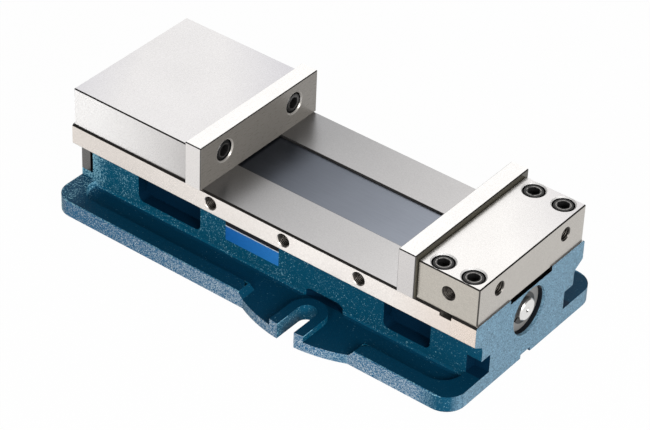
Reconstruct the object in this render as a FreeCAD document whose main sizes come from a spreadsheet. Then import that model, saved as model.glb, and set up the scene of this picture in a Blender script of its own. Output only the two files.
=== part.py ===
"""Angle lock machine vise, drawn as a parametric document in millimetres.

X runs along the screw, from the drive hexagon at -X to the fixed jaw at +X. Y runs across the jaws and
Z points up. The origin is on the table, under the middle of the bed. The jaws are drawn fully open.
"""
import FreeCAD, Part
import Sketcher
import math
import os
import re
from FreeCAD import Placement, Rotation, Vector

doc = FreeCAD.newDocument("angle_lock_vise")

# Driving dimensions
SIZES = {
    # Bed and its base
    "BedLength": 439, "BedWidth": 156.5, "BedHeight": 76, "BandHeight": 20, "EdgeChamfer": 1.7,
    "WebWidth": 133, "OverhangSlope": 6, "FilletRun": 3,
    "FlangeWidth": 213, "FlangeCorner": 19.5, "RimHeight": 15.5, "RimWidth": 15.3, "RimDraft": 14,
    "GutterCorner": 20, "GutterFloor": 9.5,
    # Clamping ears and their open slots
    "EarPlace": 56.7, "EarHalfLength": 56.5, "EarReach": 119.3, "EarRampRun": 5, "EarRound": 9,
    "ClampSlotWidth": 18, "ClampSlotEnd": 90, "LipWidth": 9, "LipHeight": 16,
    "ReliefRadius": 31, "ReliefHeight": 6, "ReliefRound": 3,
    # Cast pockets in the webs and at the rear corners
    "FrontPocketStart": -152.6, "FrontPocketEnd": -81, "RearPocketStart": 119, "RearPocketEnd": 167.5,
    "PocketFloor": 19, "PocketDepth": 12, "PocketCorner": 6,
    "CornerPocketLength": 15, "CornerPocketDepth": 12.6, "CornerPocketHeight": 19,
    # Channel, screw tunnel and the openings underneath
    "ChannelWidth": 60, "ChannelDepth": 4.5, "ScrewSlotWidth": 50, "SlotClearance": 3,
    "TunnelWidth": 92, "TunnelFloor": 16, "RailThickness": 26, "FrontWall": 28.5, "RearWall": 29.5,
    "WindowInset": 18, "CentreRib": 30, "KeySeatWidth": 14, "KeySeatDepth": 4, "KeySeatLength": 60,
    # Tapped holes for stops, drawn as plain bores of the thread's outer size
    "TapSize": 12, "TapDepth": 24, "TapChamfer": 0.8,
    "RailHolePitch": 80, "RailHoleMiddle": 19.8, "RailHoleDrop": 10,
    # Screw and its bearings
    "ScrewHeight": 47.5, "ThreadDiameter": 30, "JournalDiameter": 25, "RearJournalDiameter": 21,
    "RunningClearance": 0.05, "ThreadClearance": 0.1, "HexAcrossFlats": 19, "HexLength": 22,
    "FlangeDiameter": 38, "FlangeThickness": 10, "RearJournalStart": 150, "ShaftEndInset": 1.5,
    "ShaftChamfer": 1, "CentreDrill": 5,
    "BearingDiameter": 42, "BearingClearance": 0.5, "RaceWidth": 3, "RaceGap": 4.6, "ThrustBall": 5.6,
    "ThrustCircle": 33.5, "ThrustClearance": 0.1, "CageWidth": 2.4, "CageDepth": 14,
    "SpigotLength": 6, "BushingDiameter": 46, "BushingInset": 6.7, "BushingChamfer": 0.8,
    "RingWidth": 1.2, "RingDiameter": 29, "RingGroove": 0.7,
    "CollarDiameter": 40, "CollarWidth": 10, "CollarGap": 0.3, "CollarScrew": 6, "CollarSocket": 3,
    # Front bearing plate
    "FrontPlateThickness": 10, "FrontPlateGap": 3, "FrontPlateFloor": 22.5, "PlateClearance": 0.3,
    "PadDiameter": 18, "FrontScrewSpread": 92, "FrontScrewLow": 31, "FrontScrewRise": 16,
    # Jaws
    "JawOpening": 209.5, "JawTravel": 209.4, "JawBodyHeight": 37.5, "JawChamfer": 1,
    "MovableJawLength": 131.3, "MovableJawWidth": 152, "FixedJawLength": 61.3, "FixedJawWidth": 152.4,
    "FixedJawFront": 157,
    "JawPlateThickness": 17.5, "JawPlateWidth": 160, "JawPlateHeight": 43.2, "PlateChamfer": 0.8,
    "PlateScrewSpread": 95, "PlateScrewHeight": 24.5,
    "JawBoltSpacing": 30, "JawBoltSpread": 128.4, "JawBoltSetback": 31.5,
    "SideStopHeight": 19.6, "RearStopHeight": 23,
    "JawKeyWidth": 12, "JawKeyDepth": 5, "JawKeyRise": 3, "JawKeyStart": 32, "JawKeyEnd": 68,
    "JawKeyClearance": 0.2,
    # Socket head screws M12 and M8
    "BigScrew": 12, "BigHead": 18, "BigHeadHeight": 12, "BigSocket": 10, "BigHole": 13,
    "BigCounterbore": 20, "CounterboreDepth": 13, "MouthChamfer": 1.2, "ScrewFit": 0.05,
    "PlateScrewGrip": 22, "JawBoltGrip": 22, "HoleRunout": 2,
    "SmallScrew": 8, "SmallHead": 13, "SmallHeadHeight": 8, "SmallSocket": 6, "SmallHole": 9,
    "SmallGrip": 18, "SocketShare": 0.5, "HeadChamfer": 0.8,
    # Nut, half ball and the inside of the movable jaw
    "LockAngle": 30, "BallRadius": 13, "BallSetback": 31.5, "BallHeight": 14, "BallClearance": 0.1,
    "JawCavityWidth": 54, "JawRoof": 8, "JawLockGap": 2.5, "TongueDrop": 2, "TongueClearance": 0.1,
    "NutLength": 70, "NutSetback": 16.5, "NutWidth": 86, "NutFloor": 22, "NutHeadroom": 0.3,
    "TowerTop": 28, "TowerSetback": 80.5, "TowerClearance": 0.2,
    "SetScrewSize": 10, "SetScrewLength": 40, "SetScrewSocket": 5,
    # Chip cover
    "CoverThickness": 2.5, "CoverSideGap": 0.3, "CoverSetback": 15.5, "CoverLength": 308,
    "CoverScrew": 5, "CoverScrewHead": 9.6, "CoverHeadDepth": 2, "CoverScrewSocket": 3,
    "CoverScrewSetback": 8.5, "CoverScrewSpread": 30, "CoverScrewLength": 14, "CoverScrewSink": 0.2,
}
THRUST_BALLS = 12

sheet = doc.addObject("Spreadsheet::Sheet", "Sizes")
for row, (alias, value) in enumerate(SIZES.items(), start=1):
    sheet.set(f"A{row}", alias)
    sheet.set(f"B{row}", str(value))
    sheet.setAlias(f"B{row}", alias)
doc.recompute()

# Places worked out from the driving dimensions
FRONT = "(-BedLength / 2)"
REAR = "(BedLength / 2)"
BED_HALF = "(BedWidth / 2)"
WEB_HALF = "(WebWidth / 2)"
FLANGE_HALF = "(FlangeWidth / 2)"
BAND_BOTTOM = "(BedHeight - BandHeight)"
RAIL_UNDERSIDE = "(BedHeight - RailThickness)"
CHANNEL_FLOOR = "(BedHeight - ChannelDepth)"
CHANNEL_HALF = "(ChannelWidth / 2)"
BASE_FRONT = f"({FRONT} + FrontPlateThickness + FrontPlateGap)"
TUNNEL_FRONT = f"({BASE_FRONT} + FrontWall)"
TUNNEL_REAR = f"({REAR} - RearWall)"
EAR_SAG = f"(EarReach - {FLANGE_HALF})"
EAR_RADIUS = f"((EarHalfLength ^ 2 + {EAR_SAG} ^ 2) / (2 * {EAR_SAG}))"
EAR_CENTRE = f"(EarReach - {EAR_RADIUS})"
JAW_TOP = "(BedHeight + JawBodyHeight)"
FIXED_FACE = "(FixedJawFront - JawPlateThickness)"
MOVABLE_FACE = f"({FIXED_FACE} - JawOpening)"
MOVABLE_FRONT = f"({MOVABLE_FACE} - JawPlateThickness)"
MOVABLE_REAR = f"({MOVABLE_FRONT} - MovableJawLength)"
FIXED_REAR = "(FixedJawFront + FixedJawLength)"
PLATE_SCREW_Z = "(BedHeight + PlateScrewHeight)"
PLATE_SCREW_DEPTH = "(PlateScrewGrip + CounterboreDepth - JawPlateThickness + HoleRunout)"
BOLT_MIDDLE = "(FixedJawFront + JawBoltSetback)"
KEY_SPAN = (f"{BOLT_MIDDLE} - JawKeyWidth / 2", f"{BOLT_MIDDLE} + JawKeyWidth / 2")
BALL_X = f"({MOVABLE_FRONT} - BallSetback)"
BALL_Z = "(BedHeight + BallHeight)"
NUT_FRONT = f"({MOVABLE_FRONT} - NutSetback)"
TOWER_REAR = f"({MOVABLE_FRONT} - TowerSetback)"
COVER_START = f"({MOVABLE_FRONT} - CoverSetback)"
COVER_SCREW_X = f"({MOVABLE_FRONT} - CoverScrewSetback)"
LOCK_SLOPE = "tan(LockAngle * 1 deg)"
TOWER_TOP = "(BedHeight + TowerTop)"
COVER_TOP = "(BedHeight - TongueDrop)"
COVER_BOTTOM = f"({COVER_TOP} - CoverThickness)"
COVER_HALF = f"({CHANNEL_HALF} - CoverSideGap)"
SPIGOT_END = f"({FRONT} + FrontPlateThickness + SpigotLength)"
THRUST_MIDDLE = f"({SPIGOT_END} + RaceWidth + RaceGap / 2)"
MOVING_RACE = f"({SPIGOT_END} + RaceWidth + RaceGap)"
FLANGE_START = f"({MOVING_RACE} + RaceWidth)"
FLANGE_END = f"({FLANGE_START} + FlangeThickness)"
COLLAR_END = f"({FRONT} - CollarGap)"
COLLAR_START = f"({COLLAR_END} - CollarWidth)"
HEX_END = f"({COLLAR_START} - 2)"
HEX_START = f"({HEX_END} - HexLength)"
BUSHING_END = f"({REAR} - BushingInset)"
SHAFT_END = f"({REAR} - ShaftEndInset)"
RING_START = f"({BUSHING_END} + CollarGap)"
SCREW_LINE = ("0", "ScrewHeight")
BIG = ("BigScrew", "BigHead", "BigHeadHeight", "BigSocket")
SMALL = ("SmallScrew", "SmallHead", "SmallHeadHeight", "SmallSocket")
ALONG = Vector(1, 0, 0)
ACROSS = Vector(0, 1, 0)
UP = Vector(0, 0, 1)

WORD = re.compile(r"[A-Za-z]\w*")
TURNS = {"X": Rotation(ACROSS, 90), "Y": Rotation(ALONG, -90), "Z": Rotation()}
PLANES = {"XY": Rotation(), "XZ": Rotation(ALONG, 90), "YZ": Rotation(0.5, 0.5, 0.5, 0.5)}
OFFSETS = {"XY": "z", "XZ": "y", "YZ": "x"}
nodes = []


# Tools that bind each size and place to the sheet
def bind(formula):
    """The formula as an expression that reads the sheet."""
    return WORD.sub(lambda m: "Sizes." + m.group() if m.group() in SIZES else m.group(), formula)


def reckon(formula):
    """The formula's value, worked out by the sheet itself in a spare cell."""
    sheet.set("D1", "=" + bind(formula))
    sheet.recompute()
    return float(sheet.get("D1"))


def point(axis, along, across):
    """Three formulas in X, Y, Z order."""
    places = list(across)
    places.insert("XYZ".index(axis), along)
    return places


def place(solid, places):
    """Bind where the solid's own origin lies."""
    for axis, formula in zip("xyz", places):
        solid.setExpression(f"Placement.Base.{axis}", bind(formula))
    return solid


def box(name, x, y, z):
    """A plain block between two formulas on each axis."""
    solid = doc.addObject("Part::Box", name)
    for size, (low, high) in zip(("Length", "Width", "Height"), (x, y, z)):
        solid.setExpression(size, bind(f"({high}) - ({low})"))
    return place(solid, (x[0], y[0], z[0]))


def rod(name, axis, diameter, start, end, across=("0", "0")):
    """A cylinder along an axis, at two formulas on the other axes in X, Y, Z order."""
    solid = doc.addObject("Part::Cylinder", name)
    solid.setExpression("Radius", bind(f"({diameter}) / 2"))
    solid.setExpression("Height", bind(f"({end}) - ({start})"))
    solid.Placement = Placement(Vector(), TURNS[axis])
    return place(solid, point(axis, start, across))


def hexagon(name, axis, across_flats, start, end, across=("0", "0")):
    """A six-sided prism, placed as a rod is."""
    solid = doc.addObject("Part::Prism", name)
    solid.Polygon = 6
    solid.setExpression("Circumradius", bind(f"({across_flats}) / sqrt(3)"))
    solid.setExpression("Height", bind(f"({end}) - ({start})"))
    solid.Placement = Placement(Vector(), TURNS[axis])
    return place(solid, point(axis, start, across))


def ball(name, radius, places):
    solid = doc.addObject("Part::Sphere", name)
    solid.setExpression("Radius", bind(radius))
    return place(solid, places)


def hold(sketch, kind, items, formula):
    """Add one bound measure to a sketch."""
    index = sketch.addConstraint(Sketcher.Constraint(kind, *items, reckon(formula)))
    sketch.renameConstraint(index, f"Measure{index}")
    sketch.setExpression(f"Constraints.Measure{index}", bind(formula))


def sketch_on(name, plane, offset):
    sketch = doc.addObject("Sketcher::SketchObject", name)
    sketch.Placement = Placement(Vector(), PLANES[plane])
    sketch.setExpression(f"Placement.Base.{OFFSETS[plane]}", bind(offset))
    return sketch


def outline(name, plane, corners, offset="0"):
    """A closed sketch of straight edges whose corners are pairs of formulas."""
    sketch = sketch_on(name, plane, offset)
    guess = [Vector(reckon(u), reckon(v), 0) for u, v in corners]
    count = len(guess)
    sketch.addGeometry([Part.LineSegment(guess[i], guess[(i + 1) % count]) for i in range(count)], False)
    for i in range(count):
        sketch.addConstraint(Sketcher.Constraint("Coincident", i, 2, (i + 1) % count, 1))
    for i, (u, v) in enumerate(corners):
        hold(sketch, "DistanceX", (-1, 1, i, 1), u)
        hold(sketch, "DistanceY", (-1, 1, i, 1), v)
    return sketch


def rounded(name, plane, low, high, radius, offset="0"):
    """A closed sketch of a rectangle with four round corners."""
    sketch = sketch_on(name, plane, offset)
    u0, v0 = reckon(low[0]), reckon(low[1])
    u1, v1 = reckon(high[0]), reckon(high[1])
    r = reckon(radius)
    middles = [(u1 - r, v0 + r), (u1 - r, v1 - r), (u0 + r, v1 - r), (u0 + r, v0 + r)]
    ends = [(u0 + r, v0), (u1 - r, v0), (u1, v0 + r), (u1, v1 - r),
            (u1 - r, v1), (u0 + r, v1), (u0, v1 - r), (u0, v0 + r)]
    sides = [Part.LineSegment(Vector(*ends[2 * i], 0), Vector(*ends[2 * i + 1], 0)) for i in range(4)]
    quarter = math.pi / 2
    circles = [Part.Circle(Vector(*middle, 0), UP, r) for middle in middles]
    arcs = [Part.ArcOfCircle(circles[i], (i - 1) * quarter, i * quarter) for i in range(4)]
    sketch.addGeometry(sides + arcs, False)
    for i in range(4):
        sketch.addConstraint(Sketcher.Constraint("Tangent", i, 2, 4 + i, 1))
        sketch.addConstraint(Sketcher.Constraint("Tangent", 4 + i, 2, (i + 1) % 4, 1))
    for i in range(1, 4):
        sketch.addConstraint(Sketcher.Constraint("Equal", 4, 4 + i))
    sketch.addConstraint(Sketcher.Constraint("Horizontal", 0))
    hold(sketch, "Radius", (4,), radius)
    hold(sketch, "DistanceY", (-1, 1, 0, 1), low[1])
    hold(sketch, "DistanceX", (-1, 1, 1, 1), high[0])
    hold(sketch, "DistanceY", (-1, 1, 2, 1), high[1])
    hold(sketch, "DistanceX", (-1, 1, 3, 1), low[0])
    return sketch


def extrude(name, sketch, direction, length, draft="0"):
    """The sketch as a solid, pulled along a direction."""
    solid = doc.addObject("Part::Extrusion", name)
    solid.Base = sketch
    solid.DirMode = "Custom"
    solid.Dir = direction
    solid.Solid = True
    solid.setExpression("LengthFwd", bind(length))
    if draft != "0":
        solid.setExpression("TaperAngle", bind(draft))
    return solid


def slab(name, plane, corners, low, high):
    """A straight-edged outline as a solid between two formulas on the axis across its plane."""
    direction = {"XY": UP, "XZ": ACROSS, "YZ": ALONG}[plane]
    sketch = outline(name + "_outline", plane, corners, low)
    return extrude(name, sketch, direction, f"({high}) - ({low})")


def turned(name, axis, profile, across=("0", "0")):
    """A solid of revolution: the profile lists places along the axis with a diameter at each."""
    if axis == "X":
        sketch = outline(name + "_profile", "XZ", [(along, f"({size}) / 2") for along, size in profile])
    else:
        plane = "XZ" if axis == "Z" else "XY"
        sketch = outline(name + "_profile", plane, [(f"({size}) / 2", along) for along, size in profile])
    solid = doc.addObject("Part::Revolution", name)
    solid.Source = sketch
    solid.Axis = {"X": ALONG, "Y": ACROSS, "Z": UP}[axis]
    solid.Angle = 360
    solid.Solid = True
    return place(solid, point(axis, "0", across))


def fuse(name, parts):
    solid = doc.addObject("Part::MultiFuse", name)
    solid.Shapes = parts
    solid.Refine = True
    return solid


def common(name, parts):
    solid = doc.addObject("Part::MultiCommon", name)
    solid.Shapes = parts
    return solid


def cut(name, base, tools):
    solid = doc.addObject("Part::Cut", name)
    solid.Base = base
    solid.Tool = tools[0] if len(tools) == 1 else fuse(name + "_tools", tools)
    solid.Refine = True
    return solid


def both(solid):
    """The solid, which lies on the far side, and its mirror image on the near side."""
    twin = doc.addObject("Part::Mirroring", solid.Name + "_near")
    twin.Source = solid
    twin.Normal = ACROSS
    return [solid, twin]


def node(solid, name):
    """Give a finished sub-part its name, which is also its file's name."""
    solid.Label = name
    nodes.append(solid)
    return solid


def group(name, solids):
    """Separate solids that share one node."""
    together = doc.addObject("Part::Compound", name + "_group")
    together.Links = solids
    return node(together, name)


# Shapes that several sub-parts share
def block(name, x, half_width, z, chamfer):
    """A block on the middle line with its upright and top edges chamfered."""
    (x0, x1), (z0, z1) = x, z
    shoulder = f"{z1} - {chamfer}"
    near, near_in = f"-{half_width}", f"-{half_width} + {chamfer}"
    far, far_in = half_width, f"{half_width} - {chamfer}"
    x0_in, x1_in = f"{x0} + {chamfer}", f"{x1} - {chamfer}"
    end = [(near, z0), (far, z0), (far, shoulder), (far_in, z1), (near_in, z1), (near, shoulder)]
    side = [(x0, z0), (x1, z0), (x1, shoulder), (x1_in, z1), (x0_in, z1), (x0, shoulder)]
    plan = [(x0_in, near), (x1_in, near), (x1, near_in), (x1, far_in),
            (x1_in, far), (x0_in, far), (x0, far_in), (x0, near_in)]
    return common(name, [slab(name + "_end", "YZ", end, x0, x1),
                         slab(name + "_side", "XZ", side, near, far),
                         slab(name + "_plan", "XY", plan, z0, z1)])


def hole(name, axis, mouth, side, depth, diameter, chamfer, across):
    """A hole with a chamfered mouth, which faces along the axis where side is + and back where it is -."""
    back = "-" if side == "+" else "+"
    beyond = f"{mouth} {side} 1"
    deep = f"{mouth} {back} ({depth})"
    wide = f"{diameter} + 2 * {chamfer} + 2"
    profile = [(beyond, "0"), (beyond, wide), (f"{mouth} {back} {chamfer}", diameter),
               (deep, diameter), (deep, "0")]
    return turned(name, axis, profile, across)


def counterbored(name, axis, mouth, side, depth, across):
    """A chamfered counterbore and the clearance hole below it, for one M12 screw."""
    wide = hole(name + "_mouth", axis, mouth, side, "CounterboreDepth", "BigCounterbore",
                "MouthChamfer", across)
    through = hole(name + "_shank", axis, mouth, side, depth, "BigHole", "0.01", across)
    return [wide, through]


def socket_screw(name, axis, seat, side, sizes, grip, across):
    """A socket head screw whose head sits on the seat and points along the axis where side is +."""
    size, head, head_height, socket = sizes
    back = "-" if side == "+" else "+"
    top = f"{seat} {side} {head_height}"
    tip = f"{seat} {back} ({grip})"
    profile = [(top, "0"), (top, f"{head} - 2 * HeadChamfer"), (f"{top} {back} HeadChamfer", head),
               (seat, head), (seat, size), (f"{tip} {side} HeadChamfer", size),
               (tip, f"{size} - 2 * HeadChamfer"), (tip, "0")]
    body = turned(name + "_body", axis, profile, across)
    ends = [f"{top} {back} {head_height} * SocketShare", f"{top} {side} 1"]
    low, high = ends if side == "+" else ends[::-1]
    return cut(name, body, [hexagon(name + "_socket", axis, socket, low, high, across)])


def set_screw(name, axis, start, end, size, socket, socket_side, across):
    """A headless screw with a socket at one end."""
    profile = [(start, "0"), (start, f"{size} - 2 * HeadChamfer"), (f"{start} + HeadChamfer", size),
               (f"{end} - HeadChamfer", size), (end, f"{size} - 2 * HeadChamfer"), (end, "0")]
    body = turned(name + "_body", axis, profile, across)
    if socket_side == "-":
        low, high = f"{start} - 1", f"{start} + {size} * SocketShare"
    else:
        low, high = f"{end} - {size} * SocketShare", f"{end} + 1"
    return cut(name, body, [hexagon(name + "_socket", axis, socket, low, high, across)])


# Vise body: flange with a raised rim round a gutter
flange = extrude("Flange", rounded("Flange_outline", "XY", (FRONT, f"-{FLANGE_HALF}"),
                                   (REAR, FLANGE_HALF), "FlangeCorner"), UP, "RimHeight")
gutter = extrude("Gutter", rounded("Gutter_outline", "XY",
                                   (f"{FRONT} + RimWidth", f"-{FLANGE_HALF} + RimWidth"),
                                   (f"{REAR} - RimWidth", f"{FLANGE_HALF} - RimWidth"),
                                   "GutterCorner", "RimHeight"),
                 -UP, "RimHeight - GutterFloor", "-RimDraft")
ramp_foot = "(EarHalfLength + 0.5)"
ramp_head = f"({ramp_foot} + EarRampRun)"
ramp = slab("Ear_ramps", "XZ", [(f"EarPlace - {ramp_foot}", "GutterFloor"),
                                (f"EarPlace + {ramp_foot}", "GutterFloor"),
                                (f"EarPlace + {ramp_head}", "RimHeight"),
                                (f"EarPlace + {ramp_head}", "RimHeight + 1"),
                                (f"EarPlace - {ramp_head}", "RimHeight + 1"),
                                (f"EarPlace - {ramp_head}", "RimHeight")],
            f"-{FLANGE_HALF} - 1", f"{FLANGE_HALF} + 1")
rim_rounds = []
for end, sign in (("front", "-"), ("rear", "+")):
    edge = f"EarPlace {sign} {ramp_head}"
    middle = f"{edge} {sign} EarRound"
    low, high = (middle, edge) if sign == "-" else (edge, middle)
    inner = f"{FLANGE_HALF} - RimWidth"
    corner = box(f"Rim_{end}_corner", (low, high), (inner, f"{inner} + EarRound"),
                 ("GutterFloor", "RimHeight + 1"))
    curve = rod(f"Rim_{end}_curve", "Z", "2 * EarRound", "GutterFloor - 1", "RimHeight + 2",
                (middle, f"{inner} + EarRound"))
    rim_rounds += both(cut(f"Rim_{end}_round", corner, [curve]))
base = cut("Base", flange, [gutter, ramp] + rim_rounds)

# Vise body: web and overhanging rails, relieved round the clamp slots
half = [(f"{WEB_HALF} + FilletRun", "0"), (f"{WEB_HALF} + FilletRun", "GutterFloor"),
        (f"{WEB_HALF} + 0.3 * FilletRun", "GutterFloor + 0.3 * FilletRun"),
        (WEB_HALF, "GutterFloor + FilletRun"), (WEB_HALF, f"{BAND_BOTTOM} - OverhangSlope - FilletRun"),
        (f"{WEB_HALF} + 0.5 * FilletRun", f"{BAND_BOTTOM} - OverhangSlope"), (BED_HALF, BAND_BOTTOM),
        (BED_HALF, "BedHeight - EdgeChamfer"), (f"{BED_HALF} - EdgeChamfer", "BedHeight")]
bed = slab("Bed", "YZ", half + [(f"-({y})", z) for y, z in reversed(half)], FRONT, REAR)
relief_top = "GutterFloor + ReliefHeight"
relief = turned("Slot_relief", "Z", [("GutterFloor", "0"), ("GutterFloor", "2 * ReliefRadius"),
                                     (relief_top, "2 * ReliefRadius"),
                                     (f"{relief_top} + ReliefRound", "2 * ReliefRadius - 2 * ReliefRound"),
                                     (f"{relief_top} + ReliefRound", "0")], ("EarPlace", "ClampSlotEnd"))
relieved_bed = cut("Relieved_bed", bed, both(relief))

# Vise body: clamping ears with a raised lip round each slot
ear_arc = rod("Ear_arc", "Z", f"2 * {EAR_RADIUS}", "0", "LipHeight", ("EarPlace", EAR_CENTRE))
ear_span = ("EarPlace - EarHalfLength", "EarPlace + EarHalfLength")
ear = common("Ear", [ear_arc, box("Ear_extent", ear_span, (WEB_HALF, "EarReach + 1"), ("0", "GutterFloor"))])
lip_half = "(ClampSlotWidth / 2 + LipWidth)"
lip_end = rod("Lip_end", "Z", f"2 * {lip_half}", "0", "LipHeight", ("EarPlace", "ClampSlotEnd"))
lip_sides = box("Lip_sides", (f"EarPlace - {lip_half}", f"EarPlace + {lip_half}"),
                ("ClampSlotEnd", "EarReach + 1"), ("0", "LipHeight"))
lip = common("Lip", [ear_arc, fuse("Lip_plan", [lip_end, lip_sides])])
slot_end = rod("Clamp_slot_end", "Z", "ClampSlotWidth", "-1", "LipHeight + 1", ("EarPlace", "ClampSlotEnd"))
slot_sides = box("Clamp_slot_sides", ("EarPlace - ClampSlotWidth / 2", "EarPlace + ClampSlotWidth / 2"),
                 ("ClampSlotEnd", "EarReach + 1"), ("-1", "LipHeight + 1"))

# Vise body: step at the front for the bearing plate, with a pad at each of its screws
front_step = box("Front_step", (f"{FRONT} - 1", BASE_FRONT), (f"-{BED_HALF} - 1", f"{BED_HALF} + 1"),
                 ("FrontPlateFloor", BAND_BOTTOM))
front_gap = box("Front_gap", (f"{FRONT} - 1", BASE_FRONT),
                ("-ScrewSlotWidth / 2 - PlateClearance", "ScrewSlotWidth / 2 + PlateClearance"),
                ("FrontPlateFloor", f"{CHANNEL_FLOOR} + 1"))
casting = cut("Casting", fuse("Casting_blank", [base, relieved_bed] + both(ear) + both(lip)),
              [front_step, front_gap])
screw_heights = ("FrontScrewLow", "FrontScrewLow + FrontScrewRise")
pads = []
for count, height in enumerate(screw_heights):
    pads += both(rod(f"Pad_{count}", "X", "PadDiameter", f"{BASE_FRONT} - FrontPlateGap",
                     f"{BASE_FRONT} + 1", ("FrontScrewSpread / 2", height)))

# Vise body: tunnel, slot and channel for the screw, the nut and the chip cover
TOWER_HALF = "(ScrewSlotWidth / 2 - TowerClearance)"
NECK_FRONT = f"({BALL_X} + ({COVER_TOP} - {BALL_Z}) * {LOCK_SLOPE})"
tunnel_sides = ("-TunnelWidth / 2", "TunnelWidth / 2")
window_ends = ((f"{TUNNEL_FRONT} + WindowInset", "-CentreRib / 2"),
               ("CentreRib / 2", f"{TUNNEL_REAR} - WindowInset"))
seat_sides = ("-KeySeatWidth / 2", "KeySeatWidth / 2")
openings = [
    rod("Bearing_bore", "X", "BearingDiameter + BearingClearance", f"{BASE_FRONT} - FrontPlateGap - 1",
        f"{TUNNEL_FRONT} + 1", SCREW_LINE),
    box("Tunnel", (TUNNEL_FRONT, TUNNEL_REAR), tunnel_sides, ("TunnelFloor", RAIL_UNDERSIDE)),
    box("Window_front", window_ends[0], tunnel_sides, ("-1", "TunnelFloor + 1")),
    box("Window_rear", window_ends[1], tunnel_sides, ("-1", "TunnelFloor + 1")),
    box("Key_seat_front", (f"{FRONT} - 1", f"{FRONT} + KeySeatLength"), seat_sides, ("-1", "KeySeatDepth")),
    box("Key_seat_rear", (f"{REAR} - KeySeatLength", f"{REAR} + 1"), seat_sides, ("-1", "KeySeatDepth")),
    rod("Screw_way", "X", "ThreadDiameter + 2 * SlotClearance", f"{TUNNEL_FRONT} - 1", f"{TUNNEL_REAR} + 1",
        SCREW_LINE),
    box("Screw_slot", (f"{TOWER_REAR} - SlotClearance", f"{NUT_FRONT} + JawTravel + SlotClearance"),
        ("-ScrewSlotWidth / 2", "ScrewSlotWidth / 2"), (f"{RAIL_UNDERSIDE} - 1", f"{CHANNEL_FLOOR} + 1")),
    box("Channel", (f"{FRONT} - 1", f"{REAR} + 1"), (f"-{CHANNEL_HALF}", CHANNEL_HALF),
        (CHANNEL_FLOOR, "BedHeight + 1")),
    rod("Bushing_bore", "X", "BushingDiameter", f"{TUNNEL_REAR} - 1", f"{REAR} + 1", SCREW_LINE),
]

# Vise body: cast pockets and machined holes, made on the far side and mirrored
side_tools = [slot_end, slot_sides]
for end in ("Front", "Rear"):
    pocket = rounded(f"{end}_pocket_outline", "XZ", (f"{end}PocketStart", "PocketFloor"),
                     (f"{end}PocketEnd", f"{BAND_BOTTOM} - OverhangSlope / 2"), "PocketCorner",
                     f"{WEB_HALF} - PocketDepth")
    side_tools.append(extrude(f"{end}_pocket", pocket, ACROSS, "PocketDepth + FilletRun"))
side_tools.append(box("Corner_pocket", (f"{REAR} - CornerPocketLength", f"{REAR} + 1"),
                      (f"{WEB_HALF} - CornerPocketDepth", f"{WEB_HALF} + FilletRun + 1"),
                      ("RimHeight", "RimHeight + CornerPocketHeight")))
side_tools.append(box("Jaw_key_slot", KEY_SPAN,
                      (f"{CHANNEL_HALF} - 1", f"{BED_HALF} + 1"), ("BedHeight - JawKeyDepth", "BedHeight + 1")))
bolt_places = (f"{BOLT_MIDDLE} - JawBoltSpacing / 2", f"{BOLT_MIDDLE} + JawBoltSpacing / 2")
for count, along in enumerate(bolt_places):
    side_tools.append(hole(f"Jaw_bolt_hole_{count}", "Z", "BedHeight", "+", "JawBoltGrip + 1",
                           "BigScrew + 2 * ScrewFit", "0.5", (along, "JawBoltSpread / 2")))
for count in (-1, 0, 1):
    side_tools.append(hole(f"Rail_hole_{count + 1}", "Y", BED_HALF, "+", "TapDepth", "TapSize", "TapChamfer",
                           (f"RailHoleMiddle + {count} * RailHolePitch", "BedHeight - RailHoleDrop")))
for count, height in enumerate(screw_heights):
    side_tools.append(hole(f"Plate_bolt_hole_{count}", "X", f"{BASE_FRONT} - FrontPlateGap", "-",
                           "SmallGrip - FrontPlateThickness + HoleRunout", "SmallScrew + 2 * ScrewFit", "0.5",
                           ("FrontScrewSpread / 2", height)))
for tool in side_tools:
    openings += both(tool)
node(cut("Vise_body", fuse("Padded_casting", [casting] + pads), openings), "vise_body")

# Front bearing plate and its screws
plate_body = box("Front_plate_body", (FRONT, f"{FRONT} + FrontPlateThickness"), (f"-{WEB_HALF}", WEB_HALF),
                 ("FrontPlateFloor + PlateClearance", f"{BAND_BOTTOM} - PlateClearance"))
plate_tongue = box("Front_plate_tongue", (FRONT, f"{FRONT} + FrontPlateThickness"),
                   ("-ScrewSlotWidth / 2", "ScrewSlotWidth / 2"),
                   ("ScrewHeight", f"{CHANNEL_FLOOR} - 2 * PlateClearance"))
spigot = rod("Front_plate_spigot", "X", "BearingDiameter + BearingClearance - 2 * RunningClearance",
             f"{FRONT} + FrontPlateThickness - 1", SPIGOT_END, SCREW_LINE)
plate_bore = hole("Front_plate_bore", "X", FRONT, "-", "FrontPlateThickness + SpigotLength + 1",
                  "JournalDiameter + 2 * RunningClearance", "0.5", SCREW_LINE)
plate_tools = [plate_bore]
plate_screws = []
for count, height in enumerate(screw_heights):
    across = ("FrontScrewSpread / 2", height)
    plate_tools += both(hole(f"Front_plate_hole_{count}", "X", FRONT, "-", "FrontPlateThickness + 1",
                             "SmallHole", "0.3", across))
    plate_screws += both(socket_screw(f"Front_plate_screw_{count}", "X", FRONT, "-", SMALL, "SmallGrip", across))
node(cut("Front_bearing_plate", fuse("Front_plate_blank", [plate_body, plate_tongue, spigot]), plate_tools),
     "front_bearing_plate")
group("front_plate_screws", plate_screws)

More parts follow.
